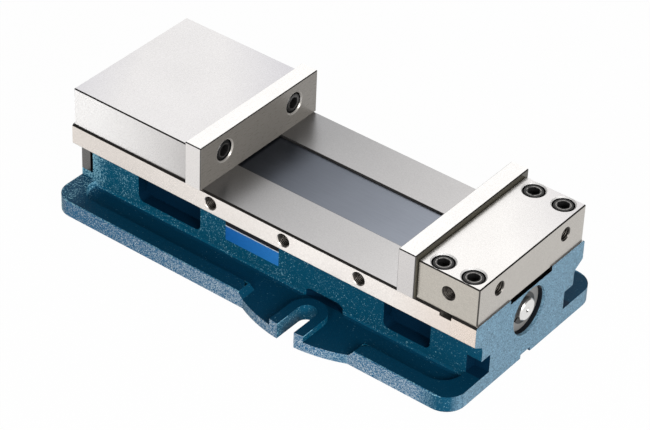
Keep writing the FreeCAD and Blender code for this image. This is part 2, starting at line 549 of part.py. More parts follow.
# Thrust bearing: two grooved races with a cage of balls between them
groove = doc.addObject("Part::Torus", "Ball_groove")
groove.setExpression("Radius1", bind("ThrustCircle / 2"))
groove.setExpression("Radius2", bind("ThrustBall / 2 + ThrustClearance"))
groove.Placement = Placement(Vector(), TURNS["X"])
place(groove, point("X", THRUST_MIDDLE, SCREW_LINE))
for name, start, bore, outer in (("fixed_thrust_race", SPIGOT_END, "JournalDiameter + 1", "BearingDiameter"),
                                 ("moving_thrust_race", MOVING_RACE, "JournalDiameter + 2 * ScrewFit",
                                  "BearingDiameter - 0.6")):
    stem = name.capitalize()
    disc = rod(stem + "_disc", "X", outer, start, f"{start} + RaceWidth", SCREW_LINE)
    middle = rod(stem + "_bore", "X", bore, f"{start} - 1", f"{start} + RaceWidth + 1", SCREW_LINE)
    node(cut(stem, disc, [middle, groove]), name)
cage_start = f"({THRUST_MIDDLE} - CageWidth / 2)"
cage_end = f"({THRUST_MIDDLE} + CageWidth / 2)"
cage_tools = [rod("Cage_bore", "X", "ThrustCircle - CageDepth / 2", f"{cage_start} - 1", f"{cage_end} + 1",
                  SCREW_LINE)]
thrust_balls = []
for count in range(THRUST_BALLS):
    turn = count * 360 / THRUST_BALLS
    across = (f"ThrustCircle / 2 * cos({turn} * 1 deg)", f"ScrewHeight + ThrustCircle / 2 * sin({turn} * 1 deg)")
    thrust_balls.append(ball(f"Thrust_ball_{count}", "ThrustBall / 2", (THRUST_MIDDLE, *across)))
    cage_tools.append(rod(f"Cage_pocket_{count}", "X", "ThrustBall + 2 * ThrustClearance",
                          f"{cage_start} - 1", f"{cage_end} + 1", across))
cage_disc = rod("Cage_disc", "X", "ThrustCircle + CageDepth / 2", cage_start, cage_end, SCREW_LINE)
node(cut("Thrust_cage", cage_disc, cage_tools), "thrust_cage")
group("thrust_balls", thrust_balls)

# Lead screw, drawn at the thread's outer size
groove_floor = "RearJournalDiameter - 2 * RingGroove"
shaft = turned("Screw_shaft", "X", [
    (HEX_END, "0"), (HEX_END, "JournalDiameter - 2 * ShaftChamfer"),
    (f"{HEX_END} + ShaftChamfer", "JournalDiameter"), (FLANGE_START, "JournalDiameter"),
    (FLANGE_START, "FlangeDiameter"), (FLANGE_END, "FlangeDiameter"), (FLANGE_END, "ThreadDiameter"),
    ("RearJournalStart - 2", "ThreadDiameter"), ("RearJournalStart", "ThreadDiameter - 4"),
    ("RearJournalStart", "RearJournalDiameter"), (RING_START, "RearJournalDiameter"),
    (RING_START, groove_floor), (f"{RING_START} + RingWidth", groove_floor),
    (f"{RING_START} + RingWidth", "RearJournalDiameter"),
    (f"{SHAFT_END} - ShaftChamfer", "RearJournalDiameter"),
    (SHAFT_END, "RearJournalDiameter - 2 * ShaftChamfer"), (SHAFT_END, "0")], SCREW_LINE)
hex_prism = hexagon("Drive_hex_prism", "X", "HexAcrossFlats", HEX_START, f"{HEX_END} + 1", SCREW_LINE)
hex_wide = "2 * HexAcrossFlats / sqrt(3)"
hex_turning = turned("Drive_hex_turning", "X", [
    (HEX_START, "0"), (HEX_START, "HexAcrossFlats - 1"), (f"{HEX_START} + 2", f"{hex_wide} + 0.2"),
    (f"{HEX_END} + 1", f"{hex_wide} + 0.2"), (f"{HEX_END} + 1", "0")], SCREW_LINE)
drive_hex = common("Drive_hex", [hex_prism, hex_turning])
centres = [turned("Screw_centre_rear", "X", [(f"{SHAFT_END} + 1", "0"), (f"{SHAFT_END} + 1", "CentreDrill + 2"),
                                             (f"{SHAFT_END} - CentreDrill / 2", "0")], SCREW_LINE),
           turned("Screw_centre_front", "X", [(f"{HEX_START} - 1", "0"), (f"{HEX_START} - 1", "CentreDrill + 2"),
                                              (f"{HEX_START} + CentreDrill / 2", "0")], SCREW_LINE)]
node(cut("Lead_screw", fuse("Lead_screw_blank", [shaft, drive_hex]), centres), "lead_screw")

# Collar on the front of the screw
collar_disc = rod("Collar_disc", "X", "CollarDiameter", COLLAR_START, COLLAR_END, SCREW_LINE)
collar_bore = rod("Collar_bore", "X", "JournalDiameter + 2 * ScrewFit", f"{COLLAR_START} - 1",
                  f"{COLLAR_END} + 1", SCREW_LINE)
collar_middle = (f"{COLLAR_START} + CollarWidth / 2", "0")
collar_tap = rod("Collar_tap", "Z", "CollarScrew + 2 * ScrewFit", "ScrewHeight",
                 "ScrewHeight + CollarDiameter / 2 + 1", collar_middle)
node(cut("Front_collar", collar_disc, [collar_bore, collar_tap]), "front_collar")
node(set_screw("Collar_set_screw", "Z", "ScrewHeight + JournalDiameter / 2 + ScrewFit",
               "ScrewHeight + CollarDiameter / 2 - 0.6", "CollarScrew", "CollarSocket", "+", collar_middle),
     "collar_set_screw")

# Rear bushing and the ring that keeps the screw in it
bushing_disc = turned("Bushing_disc", "X", [
    (TUNNEL_REAR, "0"), (TUNNEL_REAR, "BushingDiameter"), (f"{BUSHING_END} - BushingChamfer", "BushingDiameter"),
    (BUSHING_END, "BushingDiameter - 2 * BushingChamfer"), (BUSHING_END, "0")], SCREW_LINE)
bushing_bore = rod("Bushing_hole", "X", "RearJournalDiameter + 2 * RunningClearance", f"{TUNNEL_REAR} - 1",
                   f"{BUSHING_END} + 1", SCREW_LINE)
node(cut("Rear_bushing", bushing_disc, [bushing_bore]), "rear_bushing")
ring_disc = rod("Ring_disc", "X", "RingDiameter", RING_START, f"{RING_START} + RingWidth", SCREW_LINE)
ring_disc.Angle = 348
ring_disc.Placement.Rotation = TURNS["X"].multiply(Rotation(UP, -58.3))
ring_bore = rod("Ring_bore", "X", groove_floor, f"{RING_START} - 1", f"{RING_START} + RingWidth + 1", SCREW_LINE)
node(cut("Rear_retaining_ring", ring_disc, [ring_bore]), "rear_retaining_ring")

# Fixed jaw, its keys and its four bolts
fixed_half = "(FixedJawWidth / 2)"
fixed_block = block("Fixed_jaw_block", ("FixedJawFront", FIXED_REAR), fixed_half, ("BedHeight", JAW_TOP),
                    "JawChamfer")
fixed_tools = []
fixed_bolts = []
seat = f"({JAW_TOP} - CounterboreDepth)"
for count, along in enumerate(bolt_places):
    across = (along, "JawBoltSpread / 2")
    for tool in counterbored(f"Fixed_jaw_bolt_{count}", "Z", JAW_TOP, "+", "JawBodyHeight + 1", across):
        fixed_tools += both(tool)
    fixed_bolts += both(socket_screw(f"Jaw_bolt_{count}", "Z", seat, "+", BIG,
                                     f"{seat} - BedHeight + JawBoltGrip", across))
for tool in (hole("Fixed_side_hole", "Y", fixed_half, "+", "TapDepth", "TapSize", "TapChamfer",
                  (BOLT_MIDDLE, "BedHeight + SideStopHeight")),
             hole("Fixed_rear_hole", "X", FIXED_REAR, "+", "TapDepth", "TapSize", "TapChamfer",
                  ("PlateScrewSpread / 2", "BedHeight + RearStopHeight")),
             hole("Fixed_plate_hole", "X", "FixedJawFront", "-", PLATE_SCREW_DEPTH,
                  "BigScrew + 2 * ScrewFit", "0.5", ("PlateScrewSpread / 2", PLATE_SCREW_Z)),
             box("Fixed_key_slot", KEY_SPAN,
                 ("JawKeyStart - JawKeyClearance", "JawKeyEnd + JawKeyClearance"),
                 ("BedHeight - 1", "BedHeight + JawKeyRise + JawKeyClearance"))):
    fixed_tools += both(tool)
node(cut("Fixed_jaw", fixed_block, fixed_tools), "fixed_jaw")
group("fixed_jaw_bolts", fixed_bolts)
group("fixed_jaw_keys", both(box("Jaw_key", KEY_SPAN,
                                 ("JawKeyStart", "JawKeyEnd"),
                                 ("BedHeight - JawKeyDepth", "BedHeight + JawKeyRise"))))

# The two jaw plates and their screws
for which, face, side, back in (("fixed", FIXED_FACE, "-", "FixedJawFront"),
                                ("movable", MOVABLE_FACE, "+", MOVABLE_FRONT)):
    stem = f"{which.capitalize()}_jaw_plate"
    span = (face, back) if side == "-" else (back, face)
    blank = block(stem + "_block", span, "(JawPlateWidth / 2)", ("BedHeight", "(BedHeight + JawPlateHeight)"),
                  "PlateChamfer")
    across = ("PlateScrewSpread / 2", PLATE_SCREW_Z)
    tools = []
    for tool in counterbored(stem + "_hole", "X", face, side, "JawPlateThickness + 1", across):
        tools += both(tool)
    node(cut(stem, blank, tools), stem.lower())
    inward = "+" if side == "-" else "-"
    plate_seat = f"({face} {inward} CounterboreDepth)"
    group(f"{which}_plate_screws", both(socket_screw(f"{which.capitalize()}_plate_screw", "X", plate_seat, side,
                                                     BIG, "PlateScrewGrip", across)))

# Movable jaw: hollow over the nut, with a slanted front to its cavity and a seat for the half ball
movable_half = "(MovableJawWidth / 2)"
jaw_block = block("Movable_jaw_block", (MOVABLE_REAR, MOVABLE_FRONT), movable_half, ("BedHeight", JAW_TOP),
                  "JawChamfer")
tongue = box("Jaw_tongue", (f"{MOVABLE_REAR} + JawChamfer", MOVABLE_FRONT),
             (f"-{CHANNEL_HALF} + TongueClearance", f"{CHANNEL_HALF} - TongueClearance"),
             (COVER_TOP, "BedHeight + 1"))
cavity_rear = f"({TOWER_REAR} - SlotClearance)"
cavity_low = f"({COVER_TOP} - 1)"
cavity_high = f"({JAW_TOP} - JawRoof)"
cavity = slab("Jaw_cavity", "XZ", [
    (cavity_rear, cavity_low), (f"{BALL_X} + JawLockGap + ({cavity_low} - {BALL_Z}) * {LOCK_SLOPE}", cavity_low),
    (f"{BALL_X} + JawLockGap + ({cavity_high} - {BALL_Z}) * {LOCK_SLOPE}", cavity_high),
    (cavity_rear, cavity_high)], "-JawCavityWidth / 2", "JawCavityWidth / 2")
ball_seat = ball("Ball_seat", "BallRadius + BallClearance", (BALL_X, "0", BALL_Z))
set_line = ("0", BALL_Z)
jaw_tools = [cavity, ball_seat,
             hole("Set_screw_hole", "X", MOVABLE_REAR, "-", f"{cavity_rear} - {MOVABLE_REAR} + 1",
                  "SetScrewSize + 2 * ScrewFit", "TapChamfer", set_line)]
jaw_tools += both(hole("Movable_plate_hole", "X", MOVABLE_FRONT, "+",
                       PLATE_SCREW_DEPTH, "BigScrew + 2 * ScrewFit", "0.5",
                       ("PlateScrewSpread / 2", PLATE_SCREW_Z)))
cover_hole_top = f"{COVER_BOTTOM} + CoverScrewSink + CoverScrewLength"
jaw_tools += both(rod("Cover_screw_hole", "Z", "CoverScrew + 2 * ScrewFit", f"{COVER_BOTTOM} - 1",
                      f"{cover_hole_top} + 1", (COVER_SCREW_X, "CoverScrewSpread / 2")))
node(cut("Movable_jaw", fuse("Movable_jaw_blank", [jaw_block, tongue]), jaw_tools), "movable_jaw")

# Nut: its tower leans back at the lock angle and bears on the half ball
nut_top = f"({RAIL_UNDERSIDE} - NutHeadroom)"
nut_block = box("Nut_block", (f"{NUT_FRONT} - NutLength", NUT_FRONT), ("-NutWidth / 2", "NutWidth / 2"),
                ("NutFloor", nut_top))
tower = slab("Nut_tower", "XZ", [
    (TOWER_REAR, f"{nut_top} - 1"), (NECK_FRONT, f"{nut_top} - 1"), (NECK_FRONT, COVER_TOP),
    (f"{BALL_X} + ({TOWER_TOP} - {BALL_Z}) * {LOCK_SLOPE}", TOWER_TOP), (TOWER_REAR, TOWER_TOP)],
    f"-{TOWER_HALF}", TOWER_HALF)
collar = box("Nut_collar", (TOWER_REAR, NUT_FRONT), (f"-{TOWER_HALF}", TOWER_HALF),
             (f"{nut_top} - 1", f"{CHANNEL_FLOOR} - NutHeadroom"))
nut_bore = rod("Nut_bore", "X", "ThreadDiameter + 2 * ThreadClearance", f"{NUT_FRONT} - NutLength - 1",
               f"{NUT_FRONT} + 1", SCREW_LINE)
node(cut("Jaw_nut", fuse("Nut_blank", [nut_block, collar, tower]), [nut_bore]), "jaw_nut")
half_ball = ball("Half_ball", "BallRadius", (BALL_X, "0", BALL_Z))
half_ball.Angle1 = 0
half_ball.Placement.Rotation = Rotation(ACROSS, 120)
half_ball.setExpression("Placement.Rotation.Angle", bind("(90 + LockAngle) * 1 deg"))
node(half_ball, "half_ball")
node(set_screw("Jaw_set_screw", "X", f"{TOWER_REAR} - SetScrewLength", TOWER_REAR, "SetScrewSize",
               "SetScrewSocket", "-", set_line), "jaw_set_screw")

# Chip cover, which travels with the movable jaw, and its two countersunk screws
cover_sheet = box("Cover_sheet", (COVER_START, f"{COVER_START} + CoverLength"), (f"-{COVER_HALF}", COVER_HALF),
                  (COVER_BOTTOM, COVER_TOP))
sink = f"{COVER_BOTTOM} + CoverScrewSink"
taper_end = f"{sink} + CoverHeadDepth"
cover_line = (COVER_SCREW_X, "CoverScrewSpread / 2")
cover_hole = turned("Cover_hole", "Z", [
    (f"{COVER_BOTTOM} - 1", "0"), (f"{COVER_BOTTOM} - 1", "CoverScrewHead + 0.2"),
    (sink, "CoverScrewHead + 0.2"), (taper_end, "CoverScrew + 0.2"), (f"{COVER_TOP} + 1", "CoverScrew + 0.2"),
    (f"{COVER_TOP} + 1", "0")], cover_line)
node(cut("Chip_cover", cover_sheet, both(cover_hole)), "chip_cover")
cover_screw = turned("Cover_screw_body", "Z", [
    (sink, "0"), (sink, "CoverScrewHead"), (taper_end, "CoverScrew"), (cover_hole_top, "CoverScrew"),
    (cover_hole_top, "0")], cover_line)
cover_socket = hexagon("Cover_screw_socket", "Z", "CoverScrewSocket", f"{sink} - 1", taper_end, cover_line)
group("chip_cover_screws", both(cut("Cover_screw", cover_screw, [cover_socket])))

# Recompute, test and export
sheet.clear("D1")
doc.recompute()
for item in doc.Objects:
    if "Invalid" in item.State or "Error" in item.State:
        raise RuntimeError(f"{item.Name} is {item.State}")
os.makedirs("parts", exist_ok=True)
for item in nodes:
    if item.Shape.isNull() or not item.Shape.isValid():
        raise RuntimeError(f"{item.Label} has no valid shape")
    item.Shape.exportStep(f"parts/{item.Label}.step")
    print(item.Label, len(item.Shape.Solids), round(item.Shape.Volume))
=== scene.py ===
"""Angle lock machine vise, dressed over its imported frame.

Metres, Z up, X along the screw from the drive hexagon to the fixed jaw. The origin is on the table.
"""
import math

import bpy
from mathutils import Matrix, Vector


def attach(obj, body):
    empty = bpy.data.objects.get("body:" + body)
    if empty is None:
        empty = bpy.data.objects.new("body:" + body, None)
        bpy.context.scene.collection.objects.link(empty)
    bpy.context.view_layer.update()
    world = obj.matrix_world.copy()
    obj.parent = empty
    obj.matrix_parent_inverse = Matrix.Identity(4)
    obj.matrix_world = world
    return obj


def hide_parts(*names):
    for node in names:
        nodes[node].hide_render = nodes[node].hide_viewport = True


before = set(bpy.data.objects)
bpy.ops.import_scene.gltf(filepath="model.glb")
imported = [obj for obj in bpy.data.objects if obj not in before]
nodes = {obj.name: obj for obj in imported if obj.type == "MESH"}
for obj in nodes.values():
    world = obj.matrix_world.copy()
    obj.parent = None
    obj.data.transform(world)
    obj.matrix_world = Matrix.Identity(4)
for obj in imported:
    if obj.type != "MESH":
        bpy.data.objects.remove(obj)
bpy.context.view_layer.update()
scene = bpy.context.scene
MM = 0.001


# Shader maths
class Signal:
    """A number that varies over a surface; sums on it add Math nodes."""

    def __init__(self, finish, socket):
        self.finish = finish
        self.socket = socket

    def math(self, operation, *others):
        return self.finish.node("ShaderNodeMath", {"operation": operation}, dict(enumerate((self, *others))))

    def __add__(self, other):
        return self.math("ADD", other)

    def __sub__(self, other):
        return self.math("SUBTRACT", other)

    def __rsub__(self, other):
        return (self * -1) + other

    def __mul__(self, other):
        return self.math("MULTIPLY", other)

    def __pow__(self, other):
        return self.math("POWER", other)

    def __abs__(self):
        return self.math("ABSOLUTE")

    def above(self, edge, soft):
        """0 below the edge and 1 above it, over a soft width."""
        return self.finish.node("ShaderNodeMapRange", {"clamp": True},
                                {0: self, 1: edge - soft / 2, 2: edge + soft / 2, 3: 0.0, 4: 1.0})

    def below(self, edge, soft):
        return self.above(edge, soft).math("SUBTRACT", 1.0) * -1.0

    def either(self, other):
        return self.math("MAXIMUM", other)

    __radd__ = __add__
    __rmul__ = __mul__


SOCKET_NAMES = {"specular": "Specular IOR Level"}


class Finish:
    """One node tree: a material's, or the world's."""

    def __init__(self, name, owner=None):
        self.material = owner or bpy.data.materials.new(name)
        self.material.use_nodes = True
        self.tree = self.material.node_tree
        self.tree.nodes.clear()
        self.coordinates = self.tree.nodes.new("ShaderNodeTexCoord")
        self.place = self.coordinates.outputs["Object"]
        self.facing = self.coordinates.outputs["Normal"]

    def node(self, kind, settings, sockets, output=0):
        """Add a node: its settings first, then the values or links of its sockets."""
        made = self.tree.nodes.new(kind)
        for key, value in settings.items():
            setattr(made, key, value)
        for key, value in sockets.items():
            socket = made.inputs[key]
            if isinstance(value, Signal):
                self.tree.links.new(value.socket, socket)
            elif isinstance(value, bpy.types.NodeSocket):
                self.tree.links.new(value, socket)
            else:
                socket.default_value = value
        return Signal(self, made.outputs[output]) if made.outputs else made

    def axes(self, source=None):
        """The three parts of a vector, the place on the object unless another is given."""
        vector = source or self.place
        return [self.node("ShaderNodeSeparateXYZ", {}, {0: vector}, part) for part in range(3)]

    def stretched(self, scale):
        """The place on the object scaled by a different number on each axis."""
        return self.node("ShaderNodeMapping", {}, {"Vector": self.place, "Scale": scale})

    def noise(self, vector, scale, detail=2.0, roughness=0.5):
        return self.node("ShaderNodeTexNoise", {}, {"Vector": vector, "Scale": scale, "Detail": detail,
                                                    "Roughness": roughness})

    def towards(self, direction, source):
        """How far a vector points in a direction, from -1 to 1."""
        return self.node("ShaderNodeVectorMath", {"operation": "DOT_PRODUCT"}, {0: source, 1: direction}, 1)

    def blend(self, mask, low, high):
        """A colour that goes from low to high with the mask."""
        pick = [self.colour(low), self.colour(high)]
        return self.node("ShaderNodeMix", {"data_type": "RGBA"}, {0: mask, 6: pick[0], 7: pick[1]}, 2)

    def toned(self, colour, tone):
        """A colour made lighter or darker by a number."""
        return self.node("ShaderNodeMix", {"data_type": "RGBA", "blend_type": "MULTIPLY"},
                         {0: 1.0, 6: self.colour(colour), 7: tone}, 2)

    @staticmethod
    def colour(value):
        return (*value, 1.0) if isinstance(value, tuple) and len(value) == 3 else value

    def bump(self, height, strength, distance):
        return self.node("ShaderNodeBump", {}, {"Height": height, "Strength": strength, "Distance": distance})

    def surface(self, **sockets):
        """Finish the material with one Principled shader."""
        names = {SOCKET_NAMES.get(key, key.replace("_", " ").title()): self.colour(value)
                 for key, value in sockets.items()}
        shader = self.node("ShaderNodeBsdfPrincipled", {}, names)
        self.node("ShaderNodeOutputMaterial", {}, {"Surface": shader})
        return self.material


# Colours, as the scene's linear values
PAINT_DEEP = (0.0014, 0.040, 0.084)
# Painted shade: the enamel in the casting's pockets
PAINT_POCKET_SHADE = (0.0014, 0.018, 0.045)
PAINT_WEB = (0.003, 0.098, 0.178)
PAINT_WEB_DIM = (0.0028, 0.066, 0.125)
# Lighter enamel: painted light on faces that look outwards and a painted highlight on the rim's top edge,
# also blended in a little at the front end
PAINT_LIT = (0.012, 0.112, 0.230)
PAINT_FLECK = (0.270, 0.560, 0.680)
# Painted light: the pale flecks on the flange's outward faces
PAINT_FLECK_LIT = (0.440, 0.530, 0.600)
# Painted sheen on the rear end face
PAINT_END_SHEEN = (0.120, 0.215, 0.290)
RAIL_TOP = (0.640, 0.630, 0.630)
RAIL_TOP_DIM = (0.345, 0.345, 0.352)
RAIL_SIDE = (0.800, 0.740, 0.690)
RAIL_SIDE_LIT = (0.950, 0.900, 0.860)
RAIL_SIDE_WARM = (0.800, 0.660, 0.560)
BLOCK_TOP = (0.930, 0.915, 0.900)
BLOCK_TOP_DIM = (0.740, 0.725, 0.735)
BLOCK_SIDE = (0.560, 0.525, 0.470)
BLOCK_END = (0.505, 0.480, 0.445)
JAW_TOP = (0.790, 0.780, 0.785)
JAW_TOP_DIM = (0.655, 0.650, 0.685)
JAW_SIDE = (0.610, 0.590, 0.580)
JAW_SIDE_LIT = (1.000, 0.985, 0.975)
PLATE_TOP = (0.960, 0.950, 0.940)
PLATE_SIDE = (0.840, 0.810, 0.790)
PLATE_SIDE_DIM = (0.700, 0.675, 0.665)
# Painted reflection: the dark gripping faces; painted highlight: the counterbores' mouths in them
GRIP_FACE_REFLECTION = (0.215, 0.200, 0.180)
GRIP_MOUTH_HIGHLIGHT = (0.420, 0.400, 0.370)
PLATE_BACK = (0.070, 0.064, 0.048)
# Chamfers painted dark as a reflection; recesses and tapped holes painted dark as shade
CHAMFER_REFLECTION_DARK = (0.045, 0.042, 0.040)
RECESS_SHADE = (0.010, 0.011, 0.013)
BORE_SHADE = (0.060, 0.056, 0.052)
STEEL_BRIGHT = (0.780, 0.770, 0.750)
STEEL_GREY = (0.380, 0.385, 0.395)
STEEL_SHADED = (0.160, 0.155, 0.150)
THREAD_STEEL = (0.160, 0.145, 0.130)
COVER_DARK = (0.070, 0.080, 0.100)
COVER_PALE = (0.395, 0.430, 0.500)
OXIDE_BLACK = (0.012, 0.012, 0.012)
# Painted highlights on the ring round a socket's mouth, dimmer on the plate screws
OXIDE_RING_HIGHLIGHT = (0.400, 0.385, 0.370)
OXIDE_RING_HIGHLIGHT_DIM = (0.090, 0.085, 0.080)
BUSHING_GREY = (0.270, 0.265, 0.258)
CAGE_BRASS = (0.520, 0.360, 0.130)
# Painted shade in the roots of the screw's thread
THREAD_ROOT_SHADE = (0.080, 0.080, 0.085)
LABEL_BLUE = (0.008, 0.140, 0.480)
LABEL_BLUE_LIT = (0.028, 0.230, 0.640)
LABEL_PALE = (0.600, 0.660, 0.740)
LABEL_INK = (0.006, 0.006, 0.008)


# Places, in millimetres: those that a node's box has come from the frame
def spans(name):
    """A node's lowest and highest places on X, Y and Z."""
    solid = nodes[name]
    corners = [solid.matrix_world @ vertex.co / MM for vertex in solid.data.vertices]
    return [(round(min(places), 2), round(max(places), 2)) for places in zip(*corners)]


BED_REAR = spans("vise_body")[0][1]
BED_TOP = spans("vise_body")[2][1]
(BLOCK_FRONT, BLOCK_REAR), (_, BLOCK_SIDE_FACE), (_, BLOCK_HEIGHT) = spans("fixed_jaw")
FIXED_GRIP, FIXED_BACK = spans("fixed_jaw_plate")[0]
MOVABLE_BACK, MOVABLE_GRIP = spans("movable_jaw_plate")[0]

# Casting: half widths and heights
BED_HALF = 78.25
FLANGE_HALF = 106.5
WEB_HALF = 66.5
TUNNEL_HALF = 46.0
CHANNEL_HALF = 30.0
BAND_HEIGHT = 20.0
RIM_HEIGHT = 15.5

# Heights from which the tunnel is bare steel and the channel is painted dark as shade, and the depth to which
# the rear end's painted sheen enters the rear bore
TUNNEL_STEEL, CHANNEL_DARK = 22.4, 60.0
PAINTED_BORE = 2.9

# Lead screw and its bushing
SCREW_HEIGHT = 47.5
THREAD_START, THREAD_END = -182.4, 148.0
THREAD_RADIUS = 15.0
THREAD_PITCH = 5.0
THREAD_RIDGE = 1.35
TUNNEL_REAR = spans("rear_bushing")[0][0]
BUSHING_RADIUS = spans("rear_bushing")[2][1] - SCREW_HEIGHT

# Tapped holes and counterbores; a tapped hole's thread starts inside its face, past the chamfer
TAP_RADIUS = 6.0
TAP_PITCH = 1.75
TAP_RIDGE = 0.8
TAP_LENGTH = 19.4
RAIL_TAP_INSET, JAW_TAP_INSET = 1.35, 1.3
COUNTERBORE_RADIUS = 10.0
SOCKET_RADIUS = 6.0
RAIL_HOLE_MIDDLE, RAIL_HOLE_PITCH, RAIL_HOLE_HEIGHT = 19.8, 80.0, 66.0
BOLT_MIDDLE, BOLT_LENGTHWISE, BOLT_CROSSWISE = 188.5, 15.0, 64.2
SIDE_HOLE_HEIGHT = 95.6
JAW_HOLE_SPREAD, PLATE_SCREW_HEIGHT, REAR_HOLE_HEIGHT = 47.5, 100.5, 99.0

# Lines of the screws and holes
BOLT_LINES = (("X", BOLT_MIDDLE, BOLT_LENGTHWISE), ("Y", 0.0, BOLT_CROSSWISE))
PLATE_SCREW_LINES = (("Y", 0.0, JAW_HOLE_SPREAD), ("Z", PLATE_SCREW_HEIGHT, 0.0))
REAR_HOLE_LINES = (("Y", 0.0, JAW_HOLE_SPREAD), ("Z", REAR_HOLE_HEIGHT, 0.0))
SIDE_HOLE_LINES = (("X", BOLT_MIDDLE, 0.0), ("Z", SIDE_HOLE_HEIGHT, 0.0))
SCREW_LINES = (("Y", 0.0, 0.0), ("Z", SCREW_HEIGHT, 0.0))

# Label on the near web
LABEL_FRONT, LABEL_REAR = -52.2, 6.5
LABEL_FOOT, LABEL_TOP = 25.0, 50.0
LABEL_THICKNESS, LABEL_SUNK = 0.25, 0.05
LABEL_LINE, LABEL_BLACK = 39.4, 40.4

# Just past a wall, in millimetres, and the softness of a mask's sharp edge, in metres
JUST = 0.05
CRISP = 0.1 * MM

# Where the colours change, in metres on X, on Y or on a sum of both: the middle of each change and its width
FRONT_FLECKS = (-196 * MM, 16 * MM)
WEB_FADE = (-20 * MM, 380 * MM)
FLANGE_SIDE, FLANGE_SIDE_END = (100 * MM, 3 * MM), (194 * MM, 22 * MM)
FLANGE_PALER = (-120 * MM, 180 * MM)
CORNER_BEHIND, CORNER_BESIDE = (200 * MM, 4 * MM), (90 * MM, 2 * MM)
BORE_BEHIND = (200 * MM, 1 * MM)
RAIL_TOP_FADE = (40 * MM, 200 * MM)
RAIL_SIDE_RISE, RAIL_SIDE_FALL = (-60 * MM, 200 * MM), (150 * MM, 140 * MM)
RAIL_WARMTH = (178 * MM, 90 * MM)
RAIL_TAPS_BESIDE = (50 * MM, 1 * MM)
JAW_SIDE_FADE = (-142 * MM, 110 * MM)
JAW_FRONT_CORNER, JAW_REAR_CORNER = (-235 * MM, 60 * MM), (-60 * MM, 90 * MM)
BLOCK_CORNER = (235 * MM, 90 * MM)
REAR_TAPS_BEHIND = (190 * MM, 1 * MM)
COVER_FADE = (72 * MM, 240 * MM)
LABEL_FADE = (-22 * MM, 60 * MM)

# How squarely a face has to look along an axis: the middle of the change and its width
FACING = (0.8, 0.2)
SQUARE_ON = (0.9, 0.1)

# Grinding marks, as their noise's scale on X, Y and Z: long where the scale is low
RAIL_GRAIN = (120.0, 1500.0, 1500.0)
BLOCK_GRAIN = (110.0, 1600.0, 1600.0)
JAW_GRAIN = (1500.0, 120.0, 1500.0)
PLATE_GRAIN = (1600.0, 110.0, 1600.0)
EVEN_GRAIN = (900.0, 900.0, 900.0)
COARSE_GRAIN = (700.0, 700.0, 700.0)
ROLLED_GRAIN = (60.0, 1200.0, 400.0)


def from_lines(finish, lines):
    """Distance from the nearest line; each row gives an axis, a middle and half the spread on it."""
    place = dict(zip("XYZ", finish.axes()))
    squares = []
    for axis, middle, half in lines:
        gap = abs(abs(place[axis] - middle * MM) - half * MM) if half else place[axis] - middle * MM
        squares.append(gap * gap)
    return (squares[0] + squares[1]) ** 0.5


def within(finish, lines, radius):
    """1 nearer to the lines than a radius."""
    return from_lines(finish, lines).below(radius * MM, CRISP)


def grinding(finish, grain):
    """The fine marks of a grinding wheel and its slow unevenness, both about 0.5."""
    marks = finish.noise(finish.stretched(grain), 1.0, 3.0, 0.6)
    grit = finish.noise(finish.place, 950.0, 1.0, 0.7)
    clouds = finish.noise(finish.place, 14.0, 2.0)
    return marks, grit, clouds


def chamfers(finish):
    """1 on faces that lean between the main directions, as an edge's chamfer does."""
    nx, ny, nz = finish.axes(finish.facing)
    return abs(nx).either(abs(ny)).either(abs(nz)).below(0.93, 0.04)


def ground_steel(name, top, side, end, grain, extras=None):
    """Ground steel with painted light: its own tone on its top, its sides and its ends, and chamfers painted
    dark as a reflection.

    extras gives rows of a mask, a colour and how far that place is dull and not a mirror.
    """
    finish = Finish(name)
    nx, _, nz = finish.axes(finish.facing)
    marks, grit, clouds = grinding(finish, grain)
    tint = finish.blend(abs(nx).above(*FACING), side, end)
    tint = finish.blend(nz.above(*FACING), tint, top)
    tint = finish.blend(chamfers(finish) * 0.9, tint, CHAMFER_REFLECTION_DARK)
    metal = 1.0
    for mask, colour, dullness in (extras(finish) if extras else ()):
        tint = finish.blend(mask, tint, colour)
        metal = metal - mask * dullness if isinstance(metal, Signal) else 1.0 - mask * dullness
    tone = marks * 0.14 + grit * 0.34 + clouds * 0.12 + 0.70
    return finish.surface(base_color=finish.toned(tint, tone), metallic=metal, roughness=marks * 0.14 + 0.22,
                          normal=finish.bump(marks + grit * 0.5, 0.10, 0.0002))


def plate_faces(grip, back):
    """The gripping face painted dark as a reflection, its counterbores with a painted highlight at their
    mouths and painted shade inside, and the back of a jaw plate, by their places on X.
    """
    def extras(finish):
        x = finish.axes()[0]
        from_grip = abs(x - grip * MM)
        from_screw = from_lines(finish, PLATE_SCREW_LINES)
        mouth = from_grip.below(1.3 * MM, CRISP) * from_screw.below((COUNTERBORE_RADIUS + 1.4) * MM, CRISP)
        bore = from_screw.below((COUNTERBORE_RADIUS + JUST) * MM, CRISP / 2)
        return ((from_grip.below(CRISP, CRISP), GRIP_FACE_REFLECTION, 0.85),
                (abs(x - back * MM).below(CRISP, CRISP), PLATE_BACK, 0.8),
                (mouth, GRIP_MOUTH_HIGHLIGHT, 0.6), (bore, RECESS_SHADE, 0.5))
    return extras


def jaw_faces(finish):
    """Painted light and shade: the movable jaw's near side fades from its lit front end, and its top dims at
    two corners.
    """
    x, y, _ = finish.axes()
    _, ny, nz = finish.axes(finish.facing)
    lit = x.below(*JAW_SIDE_FADE) * abs(ny).above(*SQUARE_ON)
    corners = (x + y * 0.5).below(*JAW_FRONT_CORNER).either((x + y).above(*JAW_REAR_CORNER))
    return (lit, JAW_SIDE_LIT, 0.98), (corners * nz.above(*FACING), JAW_TOP_DIM, 0.0)


